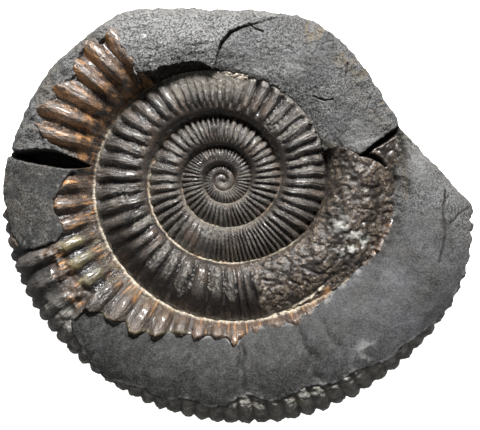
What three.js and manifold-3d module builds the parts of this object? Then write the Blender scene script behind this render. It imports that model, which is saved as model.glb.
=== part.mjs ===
// An ammonite fossil in its mudstone, 94 mm across, lying flat with its coil up.
// Units are millimetres and degrees, +Z is up, and the origin is on the resting face under the coil's centre.
// Angles turn anticlockwise seen from above. A growth angle keeps counting from turn to turn as the shell grew.

import * as THREE from 'three';
import { mergeVertices } from 'three/addons/utils/BufferGeometryUtils.js';
import Module from 'manifold-3d';

const wasm = await Module();
wasm.setup();

// Driving dimensions

// Distance from the coil's centre to the outer edge of the whorl: [growth angle, distance]
const WHORL_EDGE = [
  [-1440, 0.9], [-1260, 1.7], [-1080, 2.5], [-990, 3.0], [-900, 3.6], [-810, 4.6], [-720, 5.8],
  [-630, 6.7], [-540, 8.1], [-450, 9.4], [-405, 10.4], [-360, 11.7], [-315, 12.0], [-270, 12.8],
  [-225, 13.8], [-180, 14.8], [-135, 15.6], [-90, 16.5], [-60, 17.6], [-30, 19.6], [0, 20.9],
  [30, 21.2], [60, 21.4], [90, 21.7], [120, 23.2], [150, 24.7], [180, 25.6], [210, 26.3],
  [240, 27.2], [270, 28.3], [300, 29.8], [330, 32.8], [360, 35.2], [375, 36.0],
];

// Distance from the coil's centre to the stone's outer edge, from the broken mouth once round
const OUTLINE = [
  [15, 38.0], [30, 36.6], [45, 36.9], [60, 37.2], [75, 35.6], [90, 34.5], [105, 36.2], [120, 39.3],
  [135, 40.3], [150, 41.6], [170, 42.9], [190, 44.3], [210, 45.3], [230, 45.9], [250, 47.0],
  [270, 48.5], [290, 50.1], [310, 51.1], [330, 52.3], [340, 52.2], [350, 51.2], [354.4, 50.8],
  [357, 48.4], [360, 45.9], [365, 42.7], [370, 40.1], [375, 38.0],
];

const RIBS_PER_TURN = 46; // each rib splits in two over the outer edge
const RIB_STEP = 360 / RIBS_PER_TURN / 2; // from the top of a rib to the bottom of a groove
const RIB_SHARE = 0.048; // rise of a rib over the whorl's surface, as a share of its width
const MIDPLANE = 9.5; // height of the shell's plane of symmetry
const CREST_SHARE = 0.47; // height of an inner whorl's crest over the midplane, as a share of its width
const SEAM_SHARE = 0.28; // height of the seam at its outer edge, as a share of its width
const SHELL_FLOOR = 6; // underside of the inner whorls where they lie in the stone
const LAST_FLOOR = 6.6; // underside of the last whorl
const COIL_START = -1080; // the inner whorls show from here
const RIBS_START = -900; // and are ribbed from here
const ROUND_START = -540; // and are wide enough for a rounded section from here
const CRUSHED_FROM = 288; // the coil is broken open and crystalline from here to its end
const COIL_END = 96 * RIB_STEP; // 375.7 degrees
const LAST_START = 124 * RIB_STEP; // 485 degrees, where the last whorl comes out from under the stone
const OUTER_START = 136 * RIB_STEP; // 532 degrees, where its outer edge comes out too
const MARGIN_END = 137 * RIB_STEP; // 536 degrees
const MARGIN_WIDTH = 3.2; // before that, a margin of stone this wide covers it
const LAST_END = 181.5 * RIB_STEP; // 710 degrees
const GAP = 0.3; // clearance between the shell and the stone

// Windows of mudstone in the last whorl's side: [angle, inner radius, outer radius]
const LEFT_WINDOW = [[176, 29.0, 41.2], [184, 32.4, 41.8], [192, 33.2, 42.0], [200, 35.4, 40.2]];
const LOWER_WINDOW = [
  [216, 38.5, 41.5], [226, 36.0, 43.0], [240, 33.6, 44.2], [252, 31.4, 44.2], [270, 30.4, 44.0],
  [290, 30.4, 45.2], [304, 31.2, 46.6], [320, 32.8, 49.2], [336, 34.2, 49.6], [352, 34.4, 48.4],
];

// The stone's height beside the coil and at its own outer edge: [angle, inner, outer]
const BLOCK_HEIGHT = [
  [15, 14.6, 13.2], [45, 14.6, 13.2], [62, 15.4, 13.2], [80, 16.8, 13.6], [92, 18.6, 14.0],
  [110, 19.6, 14.6], [127, 19.6, 16.0], [335, 17.0, 16.0], [348, 16.4, 15.0], [362, 15.4, 14.4],
  [375, 14.6, 13.2],
];

// Width of the dark recess between the coil and the block of stone above it: [angle, width]
const RECESS = [[15, 0.1], [88, 0.1], [95, 1.8], [105, 3.8], [118, 4.2], [127, 4.6], [131, 0.1], [375, 0.1]];

const STONE_COLUMN_STEP = 5;
const STONE_COLUMN_START = 4.4; // puts one column on the pointed corner at 354.4 degrees

// Cracks as seen from above
const LEFT_CRACK = [
  [-44, 5.3], [-33.6, 5.5], [-29.6, 4.2], [-27.0, 2.6], [-28.6, 2.0], [-33, 2.6], [-39.8, 3.4],
];
const RIGHT_CRACK_UPPER = [[38.6, 12.8], [35.7, 11.0], [32.7, 8.8], [30.4, 7.2], [28.6, 5.6]];
const RIGHT_CRACK_MIDDLE = [[27.4, 4.8], [28.7, 5.4], [30.6, 6.9], [33.0, 8.4], [36.0, 10.6], [38.8, 12.4]];
const RIGHT_CRACK_LOWER = [[27.4, 4.8], [28.8, 5.2], [30.8, 6.6], [33.3, 8.0], [36.3, 10.2], [39.1, 12.0]];
const CURVED_CRACK = [[26.2, 4.4], [28.6, 3.4], [30.4, 2.8], [32.0, 2.3], [30.9, 3.5], [28.8, 4.1]];
const TOP_CRACK = [
  [7.8, 30.6], [3.4, 29.9], [-0.3, 27.2], [-1.3, 24.0], [-1.2, 20.6], [-0.7, 20.6], [-0.7, 23.9],
  [0.3, 26.8], [3.7, 29.3],
];

// Small tools

// A smooth curve through rows of numbers, from the first column to another one
function curveThrough(rows, column = 1) {
  const slopeAt = (k) => {
    const before = rows[Math.max(k - 1, 0)];
    const after = rows[Math.min(k + 1, rows.length - 1)];
    return (after[column] - before[column]) / (after[0] - before[0]);
  };
  return (x) => {
    let k = 0;
    while (k < rows.length - 2 && x > rows[k + 1][0]) k += 1;
    const span = rows[k + 1][0] - rows[k][0];
    const t = THREE.MathUtils.clamp((x - rows[k][0]) / span, 0, 1);
    const from = rows[k][column];
    const to = rows[k + 1][column];
    const pull = t * (1 - t) * span * ((1 - t) * slopeAt(k) - t * slopeAt(k + 1));
    return from + (to - from) * t * t * (3 - 2 * t) + pull;
  };
}

// Straight lines through rows of numbers
function straightThrough(rows, column = 1) {
  return (x) => {
    let k = 0;
    while (k < rows.length - 2 && x > rows[k + 1][0]) k += 1;
    const t = THREE.MathUtils.clamp((x - rows[k][0]) / (rows[k + 1][0] - rows[k][0]), 0, 1);
    return THREE.MathUtils.lerp(rows[k][column], rows[k + 1][column], t);
  };
}

// The same direction as an angle between 15 and 375, where the outline's table starts and ends
function once(angle) {
  const first = OUTLINE[0][0];
  return THREE.MathUtils.euclideanModulo(angle - first, 360) + first;
}

const whorlEdge = curveThrough(WHORL_EDGE);
const outlineOnce = curveThrough(OUTLINE);
const outline = (angle) => outlineOnce(once(angle));
const recess = straightThrough(RECESS);
const heightInside = straightThrough(BLOCK_HEIGHT, 1);
const heightOutside = straightThrough(BLOCK_HEIGHT, 2);

// A repeatable number from 0 to 1 for a pair of counts
function scatter(a, b) {
  const wave = Math.sin(a * 12.9898 + b * 78.233) * 43758.5453;
  return wave - Math.floor(wave);
}

function point(radius, angle, height) {
  const turn = THREE.MathUtils.degToRad(angle);
  return new THREE.Vector3(radius * Math.cos(turn), radius * Math.sin(turn), height);
}

// The turn that moves a point at this radius by a distance
function turnFor(distance, radius) {
  return THREE.MathUtils.radToDeg(distance / radius);
}

function toSolid(geometry) {
  geometry.deleteAttribute('normal');
  geometry.deleteAttribute('uv');
  const merged = mergeVertices(geometry);
  return new wasm.Manifold(new wasm.Mesh({
    numProp: 3,
    vertProperties: merged.attributes.position.array,
    triVerts: new Uint32Array(merged.index.array),
  }));
}

function toMesh(solid, name, material) {
  const { vertProperties, triVerts } = solid.getMesh();
  const geometry = new THREE.BufferGeometry();
  geometry.setAttribute('position', new THREE.BufferAttribute(vertProperties, 3));
  geometry.setIndex(new THREE.BufferAttribute(triVerts, 1));
  geometry.computeVertexNormals();
  const mesh = new THREE.Mesh(geometry, material);
  mesh.name = name;
  return mesh;
}

const unite = (solids) => solids.reduce((whole, solid) => whole.add(solid));
const cut = (body, cutters) => cutters.reduce((whole, cutter) => whole.subtract(cutter), body);

// The largest of the separate bodies of a solid, so that no loose crumb is left
function largestBody(solid) {
  return solid.decompose().reduce((best, body) => (body.volume() > best.volume() ? body : best));
}

// Triangles over a section at one end of a sweep
function endCap(section, first, facesBack) {
  const contour = section.map(([r, z]) => new THREE.Vector2(r, z));
  return THREE.ShapeUtils.triangulateShape(contour, []).flatMap(([a, b, c]) => {
    const turnsLeft = contour[b].clone().sub(contour[a]).cross(contour[c].clone().sub(contour[a])) > 0;
    return turnsLeft === facesBack ? [first + a, first + b, first + c] : [first + a, first + c, first + b];
  });
}

// Sweeps closed sections of [radius, height] points round the coil's axis. Each section runs up its
// inner side, outwards over the top and down its outer side.
function sweep(stations) {
  const count = stations[0].section.length;
  const corners = stations.flatMap(({ angle, section }) => section.map(([r, z]) => point(r, angle, z)));
  const indices = [];
  for (let s = 0; s < stations.length - 1; s += 1) {
    for (let k = 0; k < count; k += 1) {
      const a = s * count + k;
      const b = s * count + ((k + 1) % count);
      indices.push(a, b, b + count, a, b + count, a + count);
    }
  }
  const last = stations.length - 1;
  indices.push(...endCap(stations[0].section, 0, true));
  indices.push(...endCap(stations[last].section, last * count, false));
  return toSolid(new THREE.BufferGeometry().setFromPoints(corners).setIndex(indices));
}

// Stations on whole columns, so that neighbouring sweeps fall on the same ribs
function ribStations(from, to, step, makeSection) {
  const rows = [];
  for (let column = Math.round(from / step); column <= Math.round(to / step); column += 1) {
    rows.push({ angle: column * step, section: makeSection(column * step, column) });
  }
  return rows;
}

// Stations that start and end exactly where asked
function evenStations(from, to, steps, makeSection) {
  return Array.from({ length: steps + 1 }, (_, k) => {
    const angle = THREE.MathUtils.lerp(from, to, k / steps);
    return { angle, section: makeSection(angle) };
  });
}

function prism(corners, floor, ceiling) {
  const shape = new THREE.Shape(corners.map(([x, y]) => new THREE.Vector2(x, y)));
  const geometry = new THREE.ExtrudeGeometry(shape, { depth: ceiling - floor, bevelEnabled: false });
  return toSolid(geometry.translate(0, 0, floor));
}

// The inner whorls

function seamHeight(growth) {
  const reached = Math.max(growth, COIL_START);
  return MIDPLANE + SEAM_SHARE * (whorlEdge(reached) - whorlEdge(reached - 360));
}

// A ridge with a steeper inner side. Its ribs are columns that rise and fall in turn.
function innerSection(growth, column, shares) {
  const inner = whorlEdge(growth - 360);
  const outer = whorlEdge(growth);
  const width = outer - inner;
  const crest = MIDPLANE + CREST_SHARE * width;
  const low = seamHeight(growth - 360);
  const edge = seamHeight(growth);
  const crushed = growth > CRUSHED_FROM;
  const ribbed = growth > RIBS_START && !crushed;
  const rib = ribbed ? RIB_SHARE * width * (column % 2 === 0 ? 1 : -1) : 0;
  const ridge = shares.map((share) => {
    const foot = share < 0.5 ? low : edge;
    const lump = crushed ? -1.7 + 1.8 * scatter(column, share) : 0;
    const height = THREE.MathUtils.lerp(foot, crest, share > 0.4 && share < 0.6 ? 1 : 0.72);
    return [inner + share * width, height + rib + lump];
  });
  return [[inner - 0.4, SHELL_FLOOR - 1], [inner, low], ...ridge, [outer, edge], [outer, SHELL_FLOOR - 1]];
}

const sharpSection = (growth, column) => innerSection(growth, column, [0.52]);
const roundSection = (growth, column) => innerSection(growth, column, [0.22, 0.52, 0.82]);

// The small smooth button in the middle of the coil
function nucleus() {
  const dome = [[0, 5], [2.8, 5], [2.7, 9.8], [1.6, 10.6], [0.7, 10.2], [0, 9.9]];
  const profile = dome.map(([r, z]) => new THREE.Vector2(r, z));
  return toSolid(new THREE.LatheGeometry(profile, 24).rotateX(Math.PI / 2));
}

// Each stretch runs one column into the next
function innerWhorls() {
  const smooth = sweep(ribStations(COIL_START, RIBS_START + 2 * RIB_STEP, 2 * RIB_STEP, sharpSection));
  const sharp = [[RIBS_START, -720], [-720, ROUND_START]]
    .map(([from, to]) => sweep(ribStations(from, to + RIB_STEP, RIB_STEP, sharpSection)));
  const round = [[ROUND_START, -360], [-360, -180], [-180, 0], [0, 180], [180, COIL_END - RIB_STEP]]
    .map(([from, to]) => sweep(ribStations(from, to + RIB_STEP, RIB_STEP, roundSection)));
  const below = toSolid(new THREE.BoxGeometry(100, 100, 10).translate(0, 0, SHELL_FLOOR - 5));
  return unite([nucleus(), smooth, ...sharp, ...round]).subtract(below);
}

// The last whorl

// Height of its rounded side
function archHeight(radius, angle) {
  const inner = whorlEdge(angle);
  const width = outline(angle) - inner;
  const across = ((radius - inner) / width - 0.52) / 0.62;
  return MIDPLANE + (4.7 + 0.24 * width) * Math.sqrt(Math.max(1 - across * across, 0.05));
}

function lastSide(angle, reach, rib, shares) {
  const inner = whorlEdge(angle);
  const side = shares.map((share) => {
    const radius = inner + share * (reach - inner);
    return [radius, archHeight(radius, angle) + rib];
  });
  return [[inner - 0.6, LAST_FLOOR], [inner, seamHeight(angle)], ...side];
}

// Where a margin of stone covers its outer edge
function marginSection(growth, column) {
  const reach = outline(growth - 360) - MARGIN_WIDTH;
  const rib = column % 2 === 0 ? 0.5 : -0.5;
  return [...lastSide(growth - 360, reach, rib, [0.14, 0.4, 0.7, 1]), [reach, LAST_FLOOR]];
}

// Where its outer edge is bare and tucks under the stone
function outerSection(growth, column) {
  const outer = outline(growth - 360);
  const rib = 0.5 * Math.cos((Math.PI / 2) * column);
  const tooth = column % 2 === 0 ? 0.3 : -0.3;
  return [
    ...lastSide(growth - 360, outer - 2.4, rib, [0.14, 0.4, 0.68, 0.9]),
    [outer - 2.2 + 0.5 * tooth, 16.4 + 0.5 * tooth],
    [outer - 0.7 + tooth, 13.2],
    [outer + tooth, MIDPLANE],
    [outer - 0.8 + tooth, 5.2],
    [outer - 2.4, 2.2],
    [outer - 4.2, 1.0],
    [outer - 5.0, LAST_FLOOR],
  ];
}

function lastWhorl() {
  const margin = sweep(ribStations(LAST_START, MARGIN_END, RIB_STEP, marginSection));
  const outer = sweep(ribStations(OUTER_START, LAST_END, RIB_STEP / 2, outerSection));
  return margin.add(outer);
}

// Windows of stone in the last whorl's side. The stone's own window is smaller by the clearance.
function windowBodies(clearance) {
  return [LEFT_WINDOW, LOWER_WINDOW].map((rows) => {
    const inner = curveThrough(rows, 1);
    const outer = curveThrough(rows, 2);
    const turn = turnFor(clearance, 36);
    const from = rows[0][0] - turn;
    const to = rows[rows.length - 1][0] + turn;
    const wander = (angle) => 0.35 * Math.sin(angle * 0.41) + 0.25 * Math.sin(angle * 1.13);
    return sweep(evenStations(from, to, Math.round((to - from) / 4), (angle) => {
      const near = inner(angle) - clearance;
      const far = outer(angle) + wander(angle) + clearance;
      return [[near, 3 - clearance], [near, 30], [far, 30], [far, 3 - clearance]];
    }));
  });
}

// The stone

// Room for the coil, open upwards
function coilRoom() {
  const corners = evenStations(COIL_END - 360, COIL_END + 0.8, 90, (growth) => whorlEdge(growth) + GAP)
    .map(({ angle, section: radius }) => point(radius, angle, 0))
    .map(({ x, y }) => [x, y]);
  return prism(corners, SHELL_FLOOR - GAP, 30);
}

// Room for the last whorl, open upwards and outwards
function lastRoom() {
  const ring = (from, to, section) => sweep(evenStations(from, to, Math.round((to - from) / 5), section));
  const margin = ring(LAST_START - 360 - turnFor(GAP, 26), MARGIN_END - 360, (angle) => {
    const inner = whorlEdge(angle) - 1;
    const outer = outline(angle) - MARGIN_WIDTH + GAP;
    return [[inner, LAST_FLOOR - GAP], [inner, 30], [outer, 30], [outer, LAST_FLOOR - GAP]];
  });
  const clear = turnFor(GAP, 40);
  const bare = ring(OUTER_START - 360 - clear, LAST_END - 360 + clear, (angle) => {
    const inner = whorlEdge(angle) - 1;
    const outer = outline(angle);
    return [
      [inner, LAST_FLOOR - GAP], [inner, 30], [outer + 5, 30], [outer + 5, -3],
      [outer - 8.0, -3], [outer - 5.4, 3.2], [outer - 5.3, LAST_FLOOR - GAP],
    ];
  });
  return margin.add(bare);
}

// One column of the stone's surface, from under the coil outwards and down to its resting face
function stoneColumn(angle) {
  const turned = once(angle);
  const outer = outline(angle);
  const pastCrack = turned > 368 && turned < 375;
  const inner = pastCrack ? 27.6 : whorlEdge(turned);
  const near = inner + recess(turned);
  const far = outer - 1.8;
  const block = (share) => THREE.MathUtils.lerp(heightInside(turned), heightOutside(turned), share)
    + 1.1 * Math.sin(Math.PI * share);
  const underShell = THREE.MathUtils.smoothstep(turned, 127, 131)
    * (1 - THREE.MathUtils.smoothstep(turned, 325, 346));
  const top = [0, 0.2, 0.45, 0.72, 1].map((share) => {
    const radius = THREE.MathUtils.lerp(near, far, share);
    const arch = archHeight(radius, turned) - 0.5;
    return [radius, THREE.MathUtils.lerp(block(share), arch, underShell)];
  });
  return [
    [inner - 1.4, 8], [near - 0.2, 11.5], ...top,
    [outer - 0.6, 12.0], [outer, 8.5], [outer - 0.7, 3.0], [outer - 2.4, 0],
  ];
}

function stoneBlock() {
  const columns = 360 / STONE_COLUMN_STEP;
  const rings = Array.from({ length: columns }, (_, c) => {
    const angle = STONE_COLUMN_START + c * STONE_COLUMN_STEP;
    return stoneColumn(angle).map(([r, z]) => point(r, angle, z));
  });
  const count = rings[0].length;
  const top = columns * count;
  const corners = [...rings.flat(), new THREE.Vector3(0, 0, 8), new THREE.Vector3(0, 0, 0)];
  const indices = [];
  for (let c = 0; c < columns; c += 1) {
    const here = c * count;
    const next = ((c + 1) % columns) * count;
    indices.push(top, here, next, top + 1, next + count - 1, here + count - 1);
    for (let k = 0; k < count - 1; k += 1) {
      indices.push(here + k, here + k + 1, next + k + 1, here + k, next + k + 1, next + k);
    }
  }
  return toSolid(new THREE.BufferGeometry().setFromPoints(corners).setIndex(indices));
}

// Cracks and assembly

// Everything on the far side of the right crack, where the coil has ended
function pastTheCrack(edge) {
  return prism([...edge, [44, 20], [28, 20], [26.4, 7.1]], 0, 40);
}

const cracks = [
  prism(LEFT_CRACK, 8, 30),
  prism([...RIGHT_CRACK_LOWER, ...RIGHT_CRACK_UPPER], 8.5, 30),
  prism(CURVED_CRACK, 10.5, 30),
  prism(TOP_CRACK, 13.5, 30),
];

const wholeShell = innerWhorls().add(lastWhorl());
const shell = largestBody(cut(wholeShell, [...windowBodies(GAP), pastTheCrack(RIGHT_CRACK_LOWER), ...cracks]));

const room = cut(coilRoom().add(lastRoom()), [...windowBodies(0), pastTheCrack(RIGHT_CRACK_MIDDLE)]);
const stone = largestBody(cut(stoneBlock(), [room, ...cracks]));

const shellMaterial = new THREE.MeshStandardMaterial({ color: 0x3d332c, roughness: 0.35, metalness: 0.1 });
const stoneMaterial = new THREE.MeshStandardMaterial({ color: 0x5b5b5e, roughness: 0.85, metalness: 0 });

const fossil = new THREE.Group();
fossil.add(toMesh(shell, 'ammonite', shellMaterial));
fossil.add(toMesh(stone, 'mudstone_matrix', stoneMaterial));

export default fossil;
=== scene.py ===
# %% [markdown]
# An ammonite fossil in mudstone
#
# This lesson dresses a fixed model of a fossil: a coiled, ribbed shell that turned to dark mineral
# inside grey mudstone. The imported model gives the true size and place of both, and each piece made here
# stands for a part of it. Blender works in metres. The measures below are in millimetres and degrees,
# because the fossil is 94 mm across.

# %% Load the fixed model
from itertools import product
from types import SimpleNamespace

import bpy
import numpy as np
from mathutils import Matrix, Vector


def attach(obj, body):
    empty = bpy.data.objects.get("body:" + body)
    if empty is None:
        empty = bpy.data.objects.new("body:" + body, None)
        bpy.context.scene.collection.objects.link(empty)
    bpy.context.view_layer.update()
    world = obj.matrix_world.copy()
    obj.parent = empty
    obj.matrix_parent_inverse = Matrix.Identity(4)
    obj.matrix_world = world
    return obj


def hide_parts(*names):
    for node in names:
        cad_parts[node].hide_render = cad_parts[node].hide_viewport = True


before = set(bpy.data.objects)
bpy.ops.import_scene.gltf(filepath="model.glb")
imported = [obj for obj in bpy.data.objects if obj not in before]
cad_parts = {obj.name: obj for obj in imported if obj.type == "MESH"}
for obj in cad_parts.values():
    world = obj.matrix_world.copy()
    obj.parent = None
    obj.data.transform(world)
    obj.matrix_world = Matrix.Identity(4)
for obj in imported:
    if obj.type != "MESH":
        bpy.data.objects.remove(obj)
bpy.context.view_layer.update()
MM = 0.001
print("solids:", sorted(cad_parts))

# %% [markdown]
# The shape's own numbers
#
# A shell like this grows on a spiral. A growth angle keeps counting from turn to turn, and the distance
# from the centre grows with it. The tables were read off the fossil at a few angles, and a smooth curve
# runs through them. The solids use the same tables, so the detailed surface lies where the plain one
# does.

# %% Curves through tables


def curve_through(rows, column=1):
    """A smooth curve through rows of numbers, from the first column to another one."""
    at = np.array([row[0] for row in rows], float)
    value = np.array([row[column] for row in rows], float)
    before = np.maximum(np.arange(len(at)) - 1, 0)
    after = np.minimum(np.arange(len(at)) + 1, len(at) - 1)
    slope = (value[after] - value[before]) / (at[after] - at[before])

    def curve(x):
        k = np.clip(np.searchsorted(at, x) - 1, 0, len(at) - 2)
        span = at[k + 1] - at[k]
        t = np.clip((x - at[k]) / span, 0, 1)
        pull = t * (1 - t) * span * ((1 - t) * slope[k] - t * slope[k + 1])
        return value[k] + (value[k + 1] - value[k]) * t * t * (3 - 2 * t) + pull

    return curve


def straight_through(rows, column=1):
    """Straight lines through rows of numbers."""
    at = [row[0] for row in rows]
    value = [row[column] for row in rows]
    return lambda x: np.interp(x, at, value)


def lerp(low, high, share):
    return low + (high - low) * share


def ramp(x, start, end):
    """0 before start, 1 after end and a soft rise between them. It falls where end is less than start."""
    t = np.clip((x - start) / (end - start), 0, 1)
    return t * t * (3 - 2 * t)


# %% The shell's spiral and the stone's outline
# Distance from the coil's centre to the outer edge of the whorl: growth angle, distance
WHORL_EDGE = [
    (-1440, 0.9), (-1260, 1.7), (-1080, 2.5), (-990, 3.0), (-900, 3.6), (-810, 4.6), (-720, 5.8),
    (-630, 6.7), (-540, 8.1), (-450, 9.4), (-405, 10.4), (-360, 11.7), (-315, 12.0), (-270, 12.8),
    (-225, 13.8), (-180, 14.8), (-135, 15.6), (-90, 16.5), (-60, 17.6), (-30, 19.6), (0, 20.9),
    (30, 21.2), (60, 21.4), (90, 21.7), (120, 23.2), (150, 24.7), (180, 25.6), (210, 26.3), (240, 27.2),
    (270, 28.3), (300, 29.8), (330, 32.8), (360, 35.2), (375, 36.0),
]
# Distance from the coil's centre to the outer edge of the lump: angle, distance
OUTLINE = [
    (15, 38.0), (30, 36.6), (45, 36.9), (60, 37.2), (75, 35.6), (90, 34.5), (105, 36.2), (120, 39.3),
    (135, 40.3), (150, 41.6), (170, 42.9), (190, 44.3), (210, 45.3), (230, 45.9), (250, 47.0),
    (270, 48.5), (290, 50.1), (310, 51.1), (330, 52.3), (340, 52.2), (350, 51.2), (354.4, 50.8),
    (357, 48.4), (360, 45.9), (365, 42.7), (370, 40.1), (375, 38.0),
]
MIDPLANE = 9.5  # height of the shell's plane of symmetry
CREST_SHARE = 0.47  # height of a whorl's crest over it, as a share of the whorl's width
SEAM_SHARE = 0.14  # height of the seam, as a share of the whorl's width; the plain solid's is shallower
BUTTON_START = -1440
BUTTON_END = -1080
COIL_END = 375.65

whorl_edge = curve_through(WHORL_EDGE)
outline_once = curve_through(OUTLINE)


def once(angle):
    """The same direction as an angle from 15 to 375, where the outline's table starts and ends."""
    return np.mod(angle - 15, 360) + 15


def outline(angle):
    return outline_once(once(angle))


def inner_edge(growth):
    """Where a whorl starts: at the outer edge of the one inside it, or of its own in the button."""
    button = 0.02 + 0.88 * ramp(growth, BUTTON_START, BUTTON_END)
    return np.where(growth < BUTTON_END, button, whorl_edge(growth - 360))


def seam_height(growth):
    reached = np.maximum(growth, BUTTON_END)
    return MIDPLANE + SEAM_SHARE * (whorl_edge(reached) - whorl_edge(reached - 360))


def arch_height(radius, angle):
    """The rounded side of the last whorl."""
    inner = whorl_edge(angle)
    width = outline(angle) - inner
    across = ((radius - inner) / width - 0.52) / 0.62
    return MIDPLANE + (4.7 + 0.24 * width) * np.sqrt(np.maximum(1 - across**2, 0.05))


print("whorl edge at 0, 180, 360:", whorl_edge(np.array([0.0, 180.0, 360.0])).round(1))

# %% [markdown]
# Natural roughness
#
# Rock and shell are never smooth. Gradient noise gives soft lumps of a chosen size, and layers of it,
# each half as large as the last, give broken rock. It is computed here with a fixed seed instead of
# with a Displace modifier, so that height and colour masks can share the same lumps, and every run
# gives the same fossil.

# %% Noise made of soft lumps
chance = np.random.default_rng(11)
SHUFFLE = chance.permutation(256)
SLOPES = chance.normal(size=(256, 3))
SLOPES /= np.linalg.norm(SLOPES, axis=1, keepdims=True)


def lumps(points, size, seed=0):
    """Soft lumps of about this size in mm, from -1 to 1."""
    place = points / size + np.array([17.3, 5.9, 11.1]) * (seed + 1)
    cell = np.floor(place).astype(np.int64)
    inside = place - cell
    fade = inside**3 * (inside * (inside * 6 - 15) + 10)
    total = np.zeros(points.shape[:-1])
    for corner in product((0, 1), repeat=3):
        x, y, z = np.moveaxis((cell + corner) & 255, -1, 0)
        slope = SLOPES[SHUFFLE[(SHUFFLE[(SHUFFLE[x] + y) & 255] + z) & 255]]
        weight = np.prod(np.where(corner, fade, 1 - fade), axis=-1)
        total += weight * ((inside - corner) * slope).sum(axis=-1)
    return total * 1.5


def rough(points, size, layers=3, seed=0):
    """Layers of lumps, each half as large as the last."""
    return sum(lumps(points, size / 2**k, seed + k) / 2**k for k in range(layers))


def worms(points, size, seed=0):
    """Thin wandering ridges, from 0 to 1."""
    return np.clip(1 - 3.2 * np.abs(lumps(points, size, seed)), 0, 1)


def scatter(count, seed):
    """A number from 0 to 1 for each whole count."""
    return chance_table[(np.round(count).astype(int) * 7 + seed * 131) % len(chance_table)]


chance_table = chance.random(997)
print("noise ready:", lumps(np.array([[1.0, 2.0, 3.0]]), 1.0).round(3))

# %% [markdown]
# Sheets of points
#
# Each surface is a sheet: columns run round the coil, and rows run outwards over a section. NumPy moves
# the whole sheet at once, which a sculptor would do by hand with a brush. Masks go along as named
# attributes on the points, and the materials read them by name, so a mark keeps its place on the shell.

# %% From sheets to mesh objects


def sheet_points(angle, radius, height):
    turn = np.radians(angle)
    return np.stack([radius * np.cos(turn), radius * np.sin(turn), height + 0 * turn], axis=-1)


def facing(sheet):
    """Unit normals of a sheet of points."""
    along = np.gradient(sheet, axis=0)
    across = np.gradient(sheet, axis=1)
    normal = np.cross(across, along)
    return normal / np.maximum(np.linalg.norm(normal, axis=-1, keepdims=True), 1e-9)


def quads(columns, rows, first=0):
    index = np.arange(columns * rows).reshape(columns, rows) + first
    corners = [index[:-1, :-1], index[:-1, 1:], index[1:, 1:], index[1:, :-1]]
    return np.stack(corners, axis=-1).reshape(-1, 4)


def make_piece(name, sheets, node, material):
    """One object from sheets of (points, masks). It rides on the root body and stands for a solid."""
    points, faces, masks, first = [], [], {}, 0
    for sheet, sheet_masks in sheets:
        faces.append(quads(*sheet.shape[:2], first))
        points.append(sheet.reshape(-1, 3) * MM)
        first += points[-1].shape[0]
        for mask, values in sheet_masks.items():
            masks.setdefault(mask, []).append(np.broadcast_to(values, sheet.shape[:2]).reshape(-1))
    mesh = bpy.data.meshes.new(name)
    mesh.from_pydata(np.concatenate(points).tolist(), [], np.concatenate(faces).tolist())
    mesh.shade_smooth()
    for mask, values in masks.items():
        attribute = mesh.attributes.new(mask, "FLOAT", "POINT")
        attribute.data.foreach_set("value", np.concatenate(values).astype(np.float32))
    mesh.materials.append(material)
    piece = bpy.data.objects.new(name, mesh)
    bpy.context.scene.collection.objects.link(piece)
    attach(piece, "root")
    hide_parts(node)
    print(name, "has", len(mesh.polygons) * 2, "triangles and the masks", ", ".join(sorted(masks)))


def along(stations, position):
    """A smooth path through stations of one number each, at fractional positions along it."""
    last = len(stations) - 1
    k = np.clip(np.floor(position).astype(int), 0, last - 1)
    t = position - k
    line = np.stack(stations)
    before, here = line[np.maximum(k - 1, 0)], line[k]
    there, after = line[k + 1], line[np.minimum(k + 2, last)]
    t = t[:, None]
    bend = (there - before) * t + (2 * before - 5 * here + 4 * there - after) * t**2
    bend += (3 * here - before - 3 * there + after) * t**3
    return (here + 0.5 * bend).T


# %% [markdown]
# Marks at places
#
# A crack is a closed outline on the stone, a hairline is an open line, and a stain is a soft patch.
# Each of them only needs the distance from every point to the line.

# %% Distances to outlines, lines and patches


def distance_to_line(x, y, line):
    best = np.full(x.shape, 1e9)
    for (ax, ay), (bx, by) in zip(line[:-1], line[1:]):
        share = ((x - ax) * (bx - ax) + (y - ay) * (by - ay)) / ((bx - ax) ** 2 + (by - ay) ** 2)
        share = np.clip(share, 0, 1)
        best = np.minimum(best, np.hypot(x - lerp(ax, bx, share), y - lerp(ay, by, share)))
    return best


def inside_by(x, y, corners):
    """How far inside a closed outline each point is, and less than 0 outside it."""
    closed = corners + corners[:1]
    within = np.zeros(x.shape, bool)
    for (ax, ay), (bx, by) in zip(closed[:-1], closed[1:]):
        if ay != by:
            crosses = (ay > y) != (by > y)
            within ^= crosses & (x < lerp(ax, bx, (y - ay) / (by - ay)))
    distance = distance_to_line(x, y, closed)
    return np.where(within, distance, -distance)


def patch(x, y, centre, size, turn=0.0, edge=0.5):
    """A soft oval patch: 1 in its middle and 0 outside it."""
    c, s = np.cos(np.radians(turn)), np.sin(np.radians(turn))
    dx, dy = x - centre[0], y - centre[1]
    away = np.hypot((dx * c + dy * s) / size[0], (dy * c - dx * s) / size[1])
    return ramp(away, 1 + edge, 1 - edge)


# %% [markdown]
# Shared surface effects
#
# Both materials need a fine grain, and both need patchy colour. Each effect is a node group that is
# built once, with its own sizes and strengths as inputs. A group could hold the whole material, but
# then nobody could reuse the grain alone.

# %% Helpers for shader nodes


def add(tree, kind, **settings):
    made = tree.nodes.new(kind)
    for name, value in settings.items():
        setattr(made, name, value)
    return made


def feed(tree, socket, value):
    """Joins a socket to another one, or sets it to a plain value."""
    if isinstance(value, bpy.types.NodeSocket):
        tree.links.new(value, socket)
    elif isinstance(value, tuple):
        socket.default_value = (*value, 1.0)
    else:
        socket.default_value = value


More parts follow.
